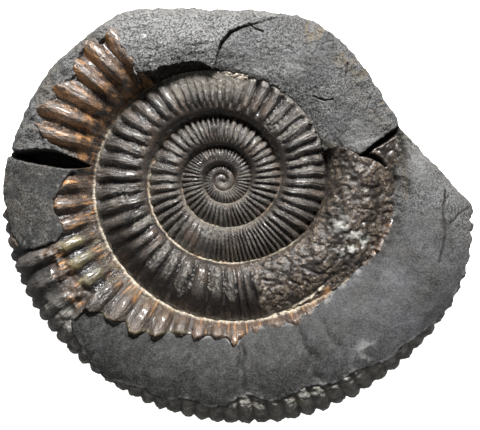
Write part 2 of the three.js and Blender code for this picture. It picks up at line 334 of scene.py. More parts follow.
def mix(tree, share, below, above):
    """Paints one colour over another by a share."""
    made = add(tree, "ShaderNodeMix", data_type="RGBA")
    feed(tree, made.inputs[0], share)
    feed(tree, made.inputs[6], below)
    feed(tree, made.inputs[7], above)
    return made.outputs[2]


def mix_value(tree, share, below, above):
    made = add(tree, "ShaderNodeMix", data_type="FLOAT")
    feed(tree, made.inputs[0], share)
    feed(tree, made.inputs[2], below)
    feed(tree, made.inputs[3], above)
    return made.outputs[0]


def maths(tree, operation, first, second=0.0, clamp=False):
    made = add(tree, "ShaderNodeMath", operation=operation, use_clamp=clamp)
    feed(tree, made.inputs[0], first)
    feed(tree, made.inputs[1], second)
    return made.outputs[0]


def between(tree, value, start, end):
    """0 below start, 1 above end."""
    made = add(tree, "ShaderNodeMapRange", interpolation_type="SMOOTHSTEP")
    feed(tree, made.inputs[0], value)
    made.inputs[1].default_value = start
    made.inputs[2].default_value = end
    return made.outputs[0]


def mask(tree, name):
    return add(tree, "ShaderNodeAttribute", attribute_name=name).outputs["Fac"]


def new_group(name, inputs, outputs):
    group = bpy.data.node_groups.new(name, "ShaderNodeTree")
    for label, value in inputs.items():
        socket = group.interface.new_socket(label, in_out="INPUT", socket_type="NodeSocketFloat")
        socket.default_value = value
    for label in outputs:
        group.interface.new_socket(label, in_out="OUTPUT", socket_type="NodeSocketFloat")
    return group, add(group, "NodeGroupInput"), add(group, "NodeGroupOutput")


def place_group(tree, group, **values):
    made = add(tree, "ShaderNodeGroup", node_tree=group)
    for label, value in values.items():
        feed(tree, made.inputs[label.replace("_", " ")], value)
    return made.outputs


# %% The grain group: three sizes of noise in one
MM_PER_M = 1000.0


def millimetres(tree):
    """Places on the piece in millimetres, so that sizes read as they are measured."""
    place = add(tree, "ShaderNodeTexCoord").outputs["Object"]
    scaled = add(tree, "ShaderNodeVectorMath", operation="SCALE")
    feed(tree, scaled.inputs[0], place)
    scaled.inputs["Scale"].default_value = MM_PER_M
    return scaled.outputs[0]


def noise(tree, place, scale, detail=2.0, roughness=0.55):
    made = add(tree, "ShaderNodeTexNoise")
    feed(tree, made.inputs["Vector"], place)
    feed(tree, made.inputs["Scale"], scale)
    made.inputs["Detail"].default_value = detail
    made.inputs["Roughness"].default_value = roughness
    return made.outputs["Fac"]


grain, grain_in, grain_out = new_group(
    "stone_grain", {"Grain per mm": 4.0, "Clouds per mm": 0.15}, ["Grain", "Speckle", "Clouds"]
)
grain_place = millimetres(grain)
fine = noise(grain, grain_place, grain_in.outputs["Grain per mm"], 3.0, 0.65)
feed(grain, grain_out.inputs["Grain"], fine)
specks = noise(grain, grain_place, maths(grain, "MULTIPLY", grain_in.outputs["Grain per mm"], 1.3), 2.0)
feed(grain, grain_out.inputs["Speckle"], between(grain, specks, 0.56, 0.70))
clouds = noise(grain, grain_place, grain_in.outputs["Clouds per mm"], 4.0)
feed(grain, grain_out.inputs["Clouds"], between(grain, clouds, 0.34, 0.66))
print("group", grain.name, "gives", [socket.name for socket in grain_out.inputs if socket.name])

# %% The cracked crust group: small plates with dark lines between them
crust, crust_in, crust_out = new_group("cracked_crust", {"Plates per mm": 2.0}, ["Plate", "Line"])
crust_place = millimetres(crust)
cells = add(crust, "ShaderNodeTexVoronoi", feature="DISTANCE_TO_EDGE")
feed(crust, cells.inputs["Vector"], crust_place)
feed(crust, cells.inputs["Scale"], crust_in.outputs["Plates per mm"])
plates = add(crust, "ShaderNodeTexVoronoi", feature="F1")
feed(crust, plates.inputs["Vector"], crust_place)
feed(crust, plates.inputs["Scale"], crust_in.outputs["Plates per mm"])
tone = add(crust, "ShaderNodeSeparateColor")
feed(crust, tone.inputs[0], plates.outputs["Color"])
feed(crust, crust_out.inputs["Plate"], tone.outputs[0])
feed(crust, crust_out.inputs["Line"], between(crust, cells.outputs["Distance"], 0.12, 0.0))
print("group", crust.name, "gives", [socket.name for socket in crust_out.inputs if socket.name])

# %% The growth lines group: fine lines that run along the ribs
growth_lines, lines_in, lines_out = new_group(
    "growth_lines", {"Count": 0.0, "Across": 0.0, "Lines per rib": 7.0}, ["Lines"]
)
lines_place = add(growth_lines, "ShaderNodeCombineXYZ")
lines_grown = maths(growth_lines, "MULTIPLY", lines_in.outputs["Count"], lines_in.outputs["Lines per rib"])
feed(growth_lines, lines_place.inputs[0], lines_grown)
feed(growth_lines, lines_place.inputs[1], maths(growth_lines, "MULTIPLY", lines_in.outputs["Across"], 0.5))
fibres = noise(growth_lines, lines_place.outputs[0], 1.0, 3.0, 0.6)
feed(growth_lines, lines_out.inputs["Lines"], between(growth_lines, fibres, 0.36, 0.64))
print("group", growth_lines.name, "gives", [socket.name for socket in lines_out.inputs if socket.name])

# %% [markdown]
# The shell's finish
#
# The shell is a dark brown mineral with a dull shine, greyer where the ribs are worn. Where its outer
# layer is bare it is bronze with orange streaks, and in one place it is a greenish, glassy calcite.
# Cream lime sits along the seams. Shade is painted nearly black into the grooves between the ribs and
# knobs, onto the inner walls that face away from the light, and onto the crack floors. One material
# with masks is used instead of six, because the finishes run into each other.

# %% The shell material
SHELL_BLACK_AND_SHADE = (0.010, 0.008, 0.007)
SHELL_DARK = (0.026, 0.023, 0.021)
SHELL_BROWN = (0.050, 0.040, 0.034)
SHELL_WORN = (0.155, 0.140, 0.122)
SHELL_DUST = (0.152, 0.136, 0.110)
BRONZE = (0.165, 0.108, 0.074)
BRONZE_DEEP = (0.030, 0.016, 0.009)
ORANGE = (0.460, 0.230, 0.085)
GLASSY = (0.048, 0.041, 0.016)
GLASSY_PALE = (0.190, 0.155, 0.075)
CREAM = (0.480, 0.420, 0.325)
GRANULE_DARK = (0.024, 0.018, 0.014)
GRANULE_LIGHT = (0.200, 0.155, 0.115)
CHALK_AND_LIGHT = (0.480, 0.480, 0.440)


def new_material(name):
    material = bpy.data.materials.new(name)
    material.use_nodes = True
    tree = material.node_tree
    return material, tree, tree.nodes["Principled BSDF"]


shell, tree, surface = new_material("fossil_shell")
skin = place_group(tree, grain, Grain_per_mm=3.2, Clouds_per_mm=0.22)
plates = place_group(tree, crust, Plates_per_mm=2.4)
colour = mix(tree, skin["Clouds"], SHELL_DARK, SHELL_BROWN)
# Near-black: painted shade in the grooves, on the inner walls away from the light and on the crack floors,
# with the shell's own black where it is polished, etched or cracked.
colour = mix(tree, between(tree, mask(tree, "groove"), 0.35, 1.0), colour, SHELL_BLACK_AND_SHADE)
fine_lines = place_group(
    tree, growth_lines, Count=mask(tree, "count"), Across=mask(tree, "across"), Lines_per_rib=7.0
)["Lines"]
worn = maths(tree, "MULTIPLY", mask(tree, "worn"), between(tree, skin["Grain"], 0.30, 0.62))
worn = maths(tree, "MULTIPLY", worn, mix_value(tree, fine_lines, 0.35, 1.25), clamp=True)
colour = mix(tree, worn, colour, SHELL_WORN)
bronze = mix(tree, between(tree, skin["Grain"], 0.22, 0.60), BRONZE_DEEP, BRONZE)
# Painted shade in the grooves of the bronze ribs.
bronze = mix(tree, maths(tree, "MULTIPLY", mask(tree, "groove"), 0.85), bronze, BRONZE_DEEP)
colour = mix(tree, mask(tree, "bronze"), colour, bronze)
rusty = maths(tree, "MULTIPLY", mask(tree, "orange"), between(tree, skin["Grain"], 0.24, 0.52))
colour = mix(tree, rusty, colour, ORANGE)
colour = mix(tree, mask(tree, "glassy"), colour, mix(tree, skin["Clouds"], GLASSY, GLASSY_PALE))
granules = mix(tree, maths(tree, "POWER", plates["Plate"], 1.6), GRANULE_DARK, GRANULE_LIGHT)
granules = mix(tree, plates["Line"], granules, SHELL_BLACK_AND_SHADE)
# Painted shade on the crack floors and shaded inner walls, with the dark cracks among the granules.
granules = mix(tree, maths(tree, "MULTIPLY", mask(tree, "groove"), 0.85), granules, SHELL_BLACK_AND_SHADE)
colour = mix(tree, mask(tree, "broken"), colour, granules)
dust = maths(tree, "MULTIPLY", mask(tree, "dusty"), between(tree, skin["Grain"], 0.38, 0.60))
colour = mix(tree, dust, colour, SHELL_DUST)
lime = maths(tree, "MULTIPLY", mask(tree, "lime"), between(tree, skin["Grain"], 0.30, 0.50))
colour = mix(tree, lime, colour, CREAM)
colour = mix(tree, mask(tree, "chalk_and_light"), colour, CHALK_AND_LIGHT)
feed(tree, surface.inputs["Base Color"], colour)
print("the shell's colour uses", len(tree.nodes), "nodes")

# %% The shell's gloss and fine relief
gloss = mix_value(tree, skin["Grain"], 0.08, 0.46)
gloss = mix_value(tree, mask(tree, "smooth"), gloss, 0.22)
dull = maths(tree, "MAXIMUM", mask(tree, "dusty"), mask(tree, "lime"))
dull = maths(tree, "MAXIMUM", dull, mask(tree, "dull"))
gloss = mix_value(tree, dull, gloss, 0.80)
gloss = mix_value(tree, mask(tree, "broken"), gloss, 0.40)
feed(tree, surface.inputs["Roughness"], gloss)
coarse = maths(tree, "MULTIPLY", plates["Plate"], 0.5)
fine_grain = mix_value(tree, mask(tree, "smooth"), skin["Grain"], 0.5)
height = maths(tree, "ADD", fine_grain, maths(tree, "MULTIPLY", mask(tree, "broken"), coarse))
grooved = maths(tree, "MULTIPLY", maths(tree, "MULTIPLY", fine_lines, mask(tree, "ribbed")), 0.7)
height = maths(tree, "ADD", height, grooved)
relief = add(tree, "ShaderNodeBump")
relief.inputs["Strength"].default_value = 1.0
relief.inputs["Distance"].default_value = 0.16 * MM
feed(tree, relief.inputs["Height"], height)
feed(tree, surface.inputs["Normal"], relief.outputs["Normal"])
bare = maths(tree, "SUBTRACT", 1.0, maths(tree, "MAXIMUM", dull, mask(tree, "broken")))
feed(tree, surface.inputs["Coat Weight"], maths(tree, "MULTIPLY", bare, 0.45))
surface.inputs["Coat Roughness"].default_value = 0.14
surface.inputs["Specular IOR Level"].default_value = 0.6
print("material", shell.name, "has", len(tree.nodes), "nodes")

# %% [markdown]
# The stone's finish
#
# Mudstone is fine mud pressed hard. It is matt and dark grey, with a salt-and-pepper grain where it
# broke and a smoother, bluer grey where it split along a layer. Iron stained it tan along its upper
# right edge.

# %% The stone material
STONE = (0.030, 0.029, 0.028)
STONE_LIGHT = (0.058, 0.059, 0.064)
STONE_PALE = (0.215, 0.213, 0.208)
STONE_DEEP_AND_SHADE = (0.012, 0.0115, 0.0110)
STONE_SHADE = (0.014, 0.012, 0.010)
STONE_TAN = (0.115, 0.094, 0.066)
GRIT_DARK = (0.014, 0.013, 0.011)
GRIT_LIGHT = (0.085, 0.078, 0.062)
PEPPER = (0.012, 0.012, 0.012)
SALT = (0.250, 0.247, 0.240)

mudstone, tree, surface = new_material("mudstone")
body = place_group(tree, grain, Grain_per_mm=2.6, Clouds_per_mm=0.16)
plates = place_group(tree, crust, Plates_per_mm=1.9)
colour = mix(tree, body["Clouds"], STONE, STONE_LIGHT)
# Darker tone in patches, with painted shade on the bottom sheet, the wedge and the creases.
colour = mix(tree, mask(tree, "deep_and_shade"), colour, STONE_DEEP_AND_SHADE)
colour = mix(tree, mask(tree, "pale"), colour, STONE_PALE)
grainy = mask(tree, "grainy")
darker = mix(tree, mix_value(tree, grainy, 0.18, 0.80), colour, PEPPER)
lighter = mix(tree, mix_value(tree, grainy, 0.05, 0.40), colour, SALT)
colour = mix(tree, between(tree, body["Grain"], 0.38, 0.62), darker, lighter)
pepper = maths(tree, "MULTIPLY", between(tree, body["Grain"], 0.50, 0.30), grainy)
colour = mix(tree, pepper, colour, PEPPER)
colour = mix(tree, maths(tree, "MULTIPLY", body["Speckle"], grainy), colour, SALT)
tan = maths(tree, "MULTIPLY", mask(tree, "tan"), between(tree, body["Grain"], 0.36, 0.58))
colour = mix(tree, tan, colour, STONE_TAN)
grit = mix(tree, maths(tree, "POWER", plates["Plate"], 1.6), GRIT_DARK, GRIT_LIGHT)
grit = mix(tree, plates["Line"], grit, SHELL_BLACK_AND_SHADE)
colour = mix(tree, mask(tree, "broken"), colour, grit)
# Painted shade in the cracks, the hairlines, the inner wall by the coil and the gap beside it.
colour = mix(tree, mask(tree, "dark"), colour, STONE_SHADE)
colour = mix(tree, mask(tree, "chalk_and_light"), colour, CHALK_AND_LIGHT)
feed(tree, surface.inputs["Base Color"], colour)
feed(tree, surface.inputs["Roughness"], mix_value(tree, body["Grain"], 0.50, 0.85))
relief = add(tree, "ShaderNodeBump")
relief.inputs["Strength"].default_value = 0.9
relief.inputs["Distance"].default_value = 0.22 * MM
surface.inputs["Specular IOR Level"].default_value = 0.25
stone_grain = maths(tree, "MULTIPLY", body["Grain"], mix_value(tree, grainy, 0.35, 1.0))
pits = mix_value(tree, grainy, 0.0, body["Speckle"])
feed(tree, relief.inputs["Height"], maths(tree, "ADD", stone_grain, pits))
feed(tree, surface.inputs["Normal"], relief.outputs["Normal"])
print("material", mudstone.name, "has", len(tree.nodes), "nodes")

# %% [markdown]
# The ribs of the coil
#
# Each rib is a fold across the whorl: a broad, rounded crest with a narrow groove on either side. Ribs
# aren't evenly spaced, so a table counts them along the growth angle, and the crest of a rib is
# wherever the count is whole. An array modifier would repeat one rib exactly, which a grown shell never
# does.

# %% Counting and shaping the ribs
# Number of ribs grown so far: growth angle, count
RIB_COUNT = [
    (-1080, 8), (-900, 23), (-810, 32), (-717.6, 43), (-659, 50), (-599.5, 59), (-563, 66),
    (-532.8, 70), (-481.8, 76), (-445, 81), (-409.2, 87), (-361.2, 93), (-281, 103), (-257, 108),
    (-236.4, 112), (-213, 115), (-181, 118), (-133.8, 124), (-104, 129), (-85.8, 134), (-70, 139),
    (-42, 147), (-30, 149), (-1.8, 153), (41.4, 159), (86.4, 165), (112.8, 171), (123, 173), (177, 180),
    (210, 184), (239.5, 188), (274.8, 192), (288.6, 195), (380, 206),
]
RIB_WANDER = 0.7  # degrees by which a rib strays from the straight line outwards
CRUSHED_FROM = 284  # growth angle at which the coil's broken stretch starts

rib_count = curve_through(RIB_COUNT)


def rib_shape(count, sharpness=1.6):
    """1 on a rib's crest and 0 between ribs, with a broad crest and a narrow dip between them."""
    return 1 - (0.5 - 0.5 * np.cos(2 * np.pi * count)) ** sharpness


def crushed_share(growth, share, points):
    """Where the coil is broken open and crystalline."""
    start = CRUSHED_FROM + 10 * share - 5 * np.abs(share - 0.3)
    return ramp(growth + 5 * rough(points, 3.0, 3, 5), start - 1.5, start + 2.5)


print("ribs on the widest inner whorl:", round(float(rib_count(360) - rib_count(0))))

# %% [markdown]
# Lime along the seams
#
# Where one whorl meets the next, a thin crust of cream lime grew along the seam. It is strong at the
# lower left, and thin or missing at the top.

# %% How strong the lime is along the seam
# Strength of the lime on the seam at the outer edge of a whorl: growth angle, strength
SEAM = [
    (-1100, 0.1), (-720, 0.2), (-620, 0.0), (-560, 0.3), (-520, 0.6), (-400, 0.6), (-350, 0.5),
    (-325, 0.3), (-300, 0.05), (-240, 0.15), (-190, 0.6), (-170, 1.0), (-42, 0.95), (-34, 0.2),
    (-28, 0.0), (90, 0.0), (125, 0.3), (140, 0.6), (160, 0.85), (178, 1.0), (225, 1.0), (300, 0.9),
    (318, 0.4), (335, 0.0), (400, 0.0),
]
SEAM_WIDTH = 0.40  # mm to either side of the seam
SEAM_RISE = 0.26  # mm

seam_strength = straight_through(SEAM)


def seam_bead(distance, growth, points):
    """The lime crust's thickness as a share, from the distance to the seam."""
    width = SEAM_WIDTH * (0.75 + 0.5 * rough(points, 1.6, 2, 31)) * np.where(growth < -360, 0.6, 1.0)
    bead = np.clip(1 - (distance / np.maximum(width, 0.1)) ** 2, 0, 1)
    broken = 0.35 + 0.65 * ramp(rough(points, 2.4, 3, 32), -0.45, 0.05)
    return bead * broken * seam_strength(growth)


# %% [markdown]
# The coil
#
# Four inner whorls lie in the stone like a coiled rope. Each one is a ridge with a steep inner wall,
# swept along the spiral. A twisted curve with a bevel could make the ridge, but not ribs that fade,
# lean and break, so each turn is a sheet whose rows run from the inner seam to the outer one.

# %% The ridge of a whorl, with its ribs
# How far a whorl's outer edge is lifted from the seam to the level of the stone: growth angle, share
EDGE_LIFT = [
    (-1500, 0), (4, 0), (22, 1), (55, 1.1), (112, 1.1), (132, 0), (172, 0), (190, 0.75), (300, 0.75),
    (322, 1), (380, 1),
]
EDGE_LEVEL = 13.4  # height of the coil's edge where the stone covers the seam
# Patches where the ribs' skin is etched and pale: growth angle, share of the width, half length, half width
ETCHED = [
    (13, 0.50, 6, 0.30), (35, 0.45, 5, 0.25), (48, 0.35, 6, 0.25), (187, 0.35, 3.5, 0.30),
    (207, 0.22, 6, 0.20), (229.8, 0.33, 4, 0.28), (239, 0.28, 3, 0.2), (249.6, 0.42, 4.5, 0.28),
    (265.8, 0.30, 3.4, 0.22), (274.8, 0.36, 3.6, 0.26), (158, 0.35, 6, 0.2), (-100, 0.22, 16, 0.16),
    (-60, 0.30, 8, 0.1), (-238, 0.5, 8, 0.2),
]
# Where the bare brown strip and the seam beside it run on over the crushed stretch
STRIP_END = [(9.0, -28.9), (13.5, -27.4), (18.3, -24.6), (21.4, -21.8)]
SEAM_END = [(9.0, -27.6), (13.0, -26.3), (17.6, -23.6), (20.2, -21.4)]
edge_lift = straight_through(EDGE_LIFT)


def edge_height(growth):
    """Height of the outer edge: down at the seam, or up at the level of the stone beside it."""
    return lerp(seam_height(growth), EDGE_LEVEL, edge_lift(growth))


print("coil's edge at 0, 180 and 360:", edge_height(np.array([0.0, 180.0, 360.0])).round(1))

# %% One stretch of the coil as a sheet


def coil_sheet(start, end, columns, rows):
    """One stretch of the coil, as points and masks."""
    growth = np.linspace(start, end, columns)[:, None]
    even = np.linspace(0, 1, rows)[None, :]
    share = lerp(even, 0.5 - 0.5 * np.cos(np.pi * even), 0.45)
    inner, outer = inner_edge(growth), whorl_edge(growth)
    width = outer - inner
    crest = MIDPLANE + CREST_SHARE * width + 0.1 * ramp(growth, -1000, -1100)
    low = lerp(seam_height(growth - 360), 9.9, ramp(growth, -1100, -1300))
    high = edge_height(growth)
    foot = lerp(low, high, share)
    swell = ((1 - np.abs(2 * share**0.8 - 1) ** 2.4) ** 0.8) ** lerp(1.0, 1.7, ramp(growth, 322, 350))
    base = sheet_points(growth + 0 * share, inner + share * width, foot + (crest - foot) * swell)
    masks = coil_masks(growth + 0 * share, share + 0 * growth, base)
    rise = coil_relief(share + 0 * growth, width, base, masks)
    return tuck_edges(base + facing(base) * rise[..., None], masks, ramp(growth, -1090, -1080))


def tuck_edges(sheet, masks, ringed):
    """Adds a row at either side that goes down under the neighbour, or to the middle in the button."""
    closer = np.ones(sheet[:, :1].shape)
    closer[..., :2] = lerp(0.05, 0.985, ringed)[..., None]
    down = np.zeros(closer.shape)
    down[..., 2] = lerp(0.2, 1.6, ringed)
    inward = sheet[:, :1] * closer - down
    outward = sheet[:, -1:] * np.array([1.008, 1.008, 1]) - np.array([0, 0, 1.8])
    wider = {name: np.pad(values, ((0, 0), (1, 1)), mode="edge") for name, values in masks.items()}
    return np.concatenate([inward, sheet, outward], axis=1), wider


print("edge lifted at 0, 180 and 360:", edge_lift(np.array([0.0, 180.0, 360.0])).round(2))

# %% Marks on the coil


def etched_share(growth, share, points):
    """How much the skin is etched, and the black lines that etching left."""
    areas = [
        patch(growth, share, (place, level), (length, width), 0, 0.4)
        for place, level, length, width in ETCHED
    ]
    etched = ramp(np.max(areas, axis=0) + 0.35 * rough(points, 1.4, 2, 8), 0.35, 0.65)
    return etched, etched * np.clip(2.0 * worms(points, 0.9, 14) - 0.3, 0, 1)


def coil_places(growth, share, points):
    """Named places on the coil, each from 0 to 1, that its masks are made of."""
    north = ramp(np.sin(np.radians(growth)), -0.2, 0.6)
    from_strip = distance_to_line(points[..., 0], points[..., 1], STRIP_END)
    return SimpleNamespace(
        north=north,
        south=ramp(-np.sin(np.radians(growth)), 0.1, 0.6),
        small=ramp(growth, -20, -60),
        wall=0.03 + 0.14 * north + 0.14 * north * ramp(growth, -330, -400),
        top=ramp(growth, 68, 84) * ramp(growth, 132, 112),
        polished=ramp(share, 0.42, 0.72) * ramp(growth, 188, 215),
        crushed=crushed_share(growth, share, points),
        ribbon=ramp(from_strip + 0.3 * rough(points, 1.5, 2, 37), 0.8, 0.5),
    )


def rib_strength(growth, share, at):
    """The ribs fade on the inner wall, on the button, along a plain stretch and under dust and polish."""
    strength = ramp(share, at.wall, at.wall + 0.18) * ramp(growth, -1060, -1000) * (1 - at.crushed)
    strength = strength * (1 - 0.7 * ramp(growth, -134, -124) * ramp(growth, -92, -104))
    strength = strength * lerp(1.0, ramp(share, 1.0, 0.9), ramp(growth, -20, 10))
    return strength * (1 - 0.75 * at.top * ramp(share, 0.6, 0.85)) * (1 - 0.6 * at.polished)


def coil_lime(growth, share, width, points):
    """Lime on both seams, in crumbs at the top, and where the seam runs on over the crushed stretch."""
    seams = seam_bead((1 - share) * width, growth, points) + seam_bead(share * width, growth - 360, points)
    crumbs = 0.9 * patch(growth, share, (80, 0.95), (7, 0.06)) * ramp(rough(points, 1.0, 3, 34), -0.3, 0.2)
    from_end = distance_to_line(points[..., 0], points[..., 1], SEAM_END)
    return seams + crumbs + ramp(from_end, 0.35, 0.1) * ramp(rough(points, 1.2, 3, 36), -0.5, 0.0)


def coil_dust(growth, share, points, at):
    """Dust at the top, along the outer edge, at the foot of the small whorls and beside the button."""
    dust = at.top * ramp(share, 0.35, 0.65) * (1.0 + 0.5 * rough(points, 3.0, 3, 3))
    dust = dust + 0.7 * ramp(share, 0.90, 0.96) * ramp(growth, 15, 25) * ramp(growth, 185, 170)
    foot = ramp(share, 0.22, 0.06) * at.south * at.small
    dust = dust + 0.9 * foot * (0.8 + 0.5 * rough(points, 1.2, 2, 35))
    beside_button = patch(points[..., 0], points[..., 1], (1.6, -2.4), (3.0, 1.6), -15)
    dust = dust + 0.9 * beside_button * (0.9 + rough(points, 1.0, 3, 6))
    return dust + 0.4 * ramp(rough(points, 2.5, 3, 7), 0.30, 0.55) * at.small


def coil_masks(growth, share, points):
    """Where the coil is ribbed, worn, dusty, broken or covered in lime, and where shade is painted."""
    at = coil_places(growth, share, points)
    width = whorl_edge(growth) - inner_edge(growth)
    count = rib_count(growth + RIB_WANDER * rough(points, 4.0, 2, 33))
    rib = rib_shape(count, 2.0)
    ribbed = rib_strength(growth, share, at)
    lime = coil_lime(growth, share, width, points)
    crushed = at.crushed * (1 - at.ribbon)
    dusty = coil_dust(growth, share, points, at)
    etched, lines = etched_share(growth, share, points)
    worn = rib * ribbed * (0.38 + 0.8 * rough(points, 3, 3, 4) + 0.38 * at.small) * (1 - 0.8 * at.polished)
    worn = worn * (1 - 0.20 * at.north - 0.12 * at.south)
    # Painted shade at the foot of the inner wall on the north side, which faces away from the light.
    dark_wall = 0.8 * ramp(share, at.wall + 0.08, at.wall - 0.06) * at.north * (1 - crushed)
    cracks = crushed * (0.8 * worms(points, 2.4, 19) + 0.7 * ramp(rough(points, 4, 3, 38), 0.0, 0.5))
    black = 0.95 * at.polished * (1 - etched) * (1 - crushed)
    # Painted shade between the ribs.
    shade_between_ribs = (1 - rib) * ribbed * (1 - 0.6 * dusty)
    bronze = 0.30 * lime + 0.25 * ramp(rough(points, 4, 2, 9), 0.2, 0.5) + 0.9 * at.ribbon
    orange = (0.35 * ramp(lime, 0.05, 0.3) + 0.7 * at.ribbon) * ramp(rough(points, 1.5, 2, 10), 0.0, 0.4)
    return {
        "count": count,
        "across": share * width,
        "ribbed": ribbed,
        "rib": rib,
        "groove": np.clip(shade_between_ribs + lines + dark_wall + black + cracks, 0, 1),
        "worn": np.clip(worn + 0.9 * etched - lines, 0, 1),
        "dusty": np.clip(dusty + 0.5 * etched - lines, 0, 0.9) * (1 - crushed),
        "lines": lines,
        "smooth": at.polished * (1 - etched),
        "dull": 0.7 * etched,
        "broken": crushed,
        "lime": np.clip(lime, 0, 1),
        "chalk_and_light": chalk_patch(points),
        "bronze": np.clip(bronze, 0, 1),
        "orange": np.clip(orange, 0, 1),
        "glassy": 0 * growth,
    }


def chalk_patch(points):
    """A patch of whitish calcite in the crushed stretch, and a small yellowish one beside it."""
    x, y = points[..., 0], points[..., 1]
    broken = ramp(rough(points, 1.2, 3, 12), -0.15, 0.25)
    yellowish = 0.5 * patch(x, y, (23.6, -9.2), (1.4, 0.9))
    return broken * (0.85 * patch(x, y, (26.3, -12.6), (3.1, 1.7), 35) + yellowish)


print("etched patches on the coil:", len(ETCHED))

# %% Relief of the coil


def coil_relief(share, width, points, masks):
    """How far the surface stands out from the plain ridge."""
    count = masks["count"]
    jitter = 0.65 + 0.60 * scatter(count, 3)
    ribs = 0.115 * width * jitter * masks["ribbed"] * (masks["rib"] - 0.5) * (1 - 0.5 * masks["dusty"])
    size = np.minimum(width / 8, 1)
    strokes = np.stack([count * 6.0, share * 2.2, 0 * share], axis=-1)
    skin = size * (0.06 * rough(points, 1.1, 3, 1) + 0.13 * masks["ribbed"] * rough(strokes, 1.0, 2, 2))
    chunks = 0.34 * rough(points, 3.6, 2, 16) + 0.19 * rough(points, 0.9, 2, 18)
    chunks = (chunks - 0.26 * worms(points, 2.4, 19) - 0.1) * ramp(share, 0.0, 0.12)
    dust = 0.16 * masks["dusty"] * rough(points, 0.9, 3, 20) * size
    lime = SEAM_RISE * masks["lime"] * (0.8 + 0.6 * rough(points, 0.6, 2, 22))
    return ribs + skin - 0.14 * masks["lines"] + masks["broken"] * chunks + dust + lime


# %% [markdown]
# Making room for the cracks
#
# The crack at the right runs on into the crushed stretch of the coil, so the coil sinks there as the
# stone does.

# %% The coil's two pieces
# Outlines of the three cracks, and of the block's lower edge: x, y
LEFT_CRACK = [
    (-46, 5.4), (-42.1, 5.4), (-34.3, 5.7), (-31.8, 5.1), (-29.0, 4.1), (-26.4, 2.8), (-28.4, 2.3),
    (-31.0, 2.2), (-34.5, 2.8), (-38.0, 3.5), (-42.9, 4.8), (-46, 5.0),
]
RIGHT_CRACK = [
    (41.0, 14.6), (38.6, 12.8), (35.7, 11.0), (32.7, 8.8), (30.4, 7.2), (28.6, 5.6), (27.4, 4.8),
    (28.8, 5.2), (30.8, 6.6), (33.3, 8.0), (36.3, 10.2), (39.1, 12.0), (41.5, 13.9),
]
CURVED_CRACK = [
    (26.4, 5.5), (28.4, 5.3), (30.4, 4.9), (31.6, 4.1), (32.6, 2.6), (31.1, 3.7), (29.6, 4.3),
    (27.6, 4.8),
]
BLOCK_LOWER_EDGE = [
    (19.0, 8.4), (23.4, 6.8), (27.4, 4.8), (30.4, 7.0), (35.7, 10.9), (41.0, 14.4), (60, 30), (10, 30),
]


def sink(points, masks, corners, floor, edge=0.25):
    """Lowers the points inside a crack to its floor and paints shade on them."""
    x, y = points[..., 0], points[..., 1]
    share = ramp(inside_by(x, y, corners) + 0.12 * rough(points, 0.8, 2, 40), -edge, edge)
    points[..., 2] = np.where(points[..., 2] > floor, lerp(points[..., 2], floor, share), points[..., 2])
    # Painted shade on the crack floor.
    masks["groove"] = np.maximum(masks.get("groove", 0 * share), share)
    masks["dark"] = np.maximum(masks.get("dark", 0 * share), share)


SHELL_MASKS = [
    "count", "across", "ribbed", "groove", "worn", "dusty", "smooth", "dull", "broken", "lime", "chalk_and_light",
    "bronze", "orange", "glassy",
]
STONE_MASKS = ["pale", "deep_and_shade", "grainy", "tan", "broken", "dark", "chalk_and_light"]


def keep(masks, names):
    return {name: masks[name] for name in names}


OUTER_START = -2.0
OUTER_COLUMNS = 1120
outer_coil, outer_masks = coil_sheet(OUTER_START, COIL_END, OUTER_COLUMNS, 76)
sink(outer_coil, outer_masks, RIGHT_CRACK, 8.5)
sink(outer_coil, outer_masks, CURVED_CRACK, 11.0)
beyond = ramp(inside_by(outer_coil[..., 0], outer_coil[..., 1], BLOCK_LOWER_EDGE), -0.1, 0.3)
beyond = beyond * ramp(np.linspace(OUTER_START, COIL_END, OUTER_COLUMNS), 340, 350)[:, None]
outer_coil[..., 2] -= 3.0 * beyond
outer_sheets = [(outer_coil, keep(outer_masks, SHELL_MASKS))]
make_piece("ammonite_coil", outer_sheets, "ammonite", shell)

# The three turns inside the outer one, and the button: first and last growth angle, columns, rows
INNER_TURNS = [
    (-362, 2, 860, 46), (-722, -358, 860, 30), (-1082, -718, 640, 20), (-1440, -1078, 160, 14),
]
inner_sheets = []
for start, end, columns, rows in INNER_TURNS:
    sheet, masks = coil_sheet(start, end, columns, rows)
    inner_sheets.append((sheet, keep(masks, SHELL_MASKS)))
make_piece("ammonite_inner_coil", inner_sheets, "ammonite", shell)

# %% [markdown]
# Where the stone covers the last whorl
#
# The last whorl makes the rounded rim of the whole lump, but a thin layer of mudstone still hides most
# of its side. The same signed distance tells both surfaces where that layer is: the stone rises there
# and sinks elsewhere, and the shell does the opposite. Whichever is higher shows, so the border between
# them breaks up by itself.

# %% The three covered places on the last whorl
# Inner border of the stone margin outside the brown ribs: direction, radius
MARGIN = [
    (120, 36.0), (126, 36.2), (130.6, 36.7), (138, 37.6), (142.4, 36.4), (147, 35.6), (151.4, 37.6),
    (156, 37.5), (160, 38.7), (164.4, 37.2), (167.6, 35.2), (170, 31.0), (174, 29.5), (178, 29.0),
]
# The wedge under the left crack: direction, inner radius, outer radius
WEDGE = [
    (174, 28.3, 44.0), (181.5, 31.0, 43.6), (186.3, 32.8, 43.0), (192, 33.2, 42.6), (198, 32.6, 42.0),
    (202, 36.0, 41.0),
]
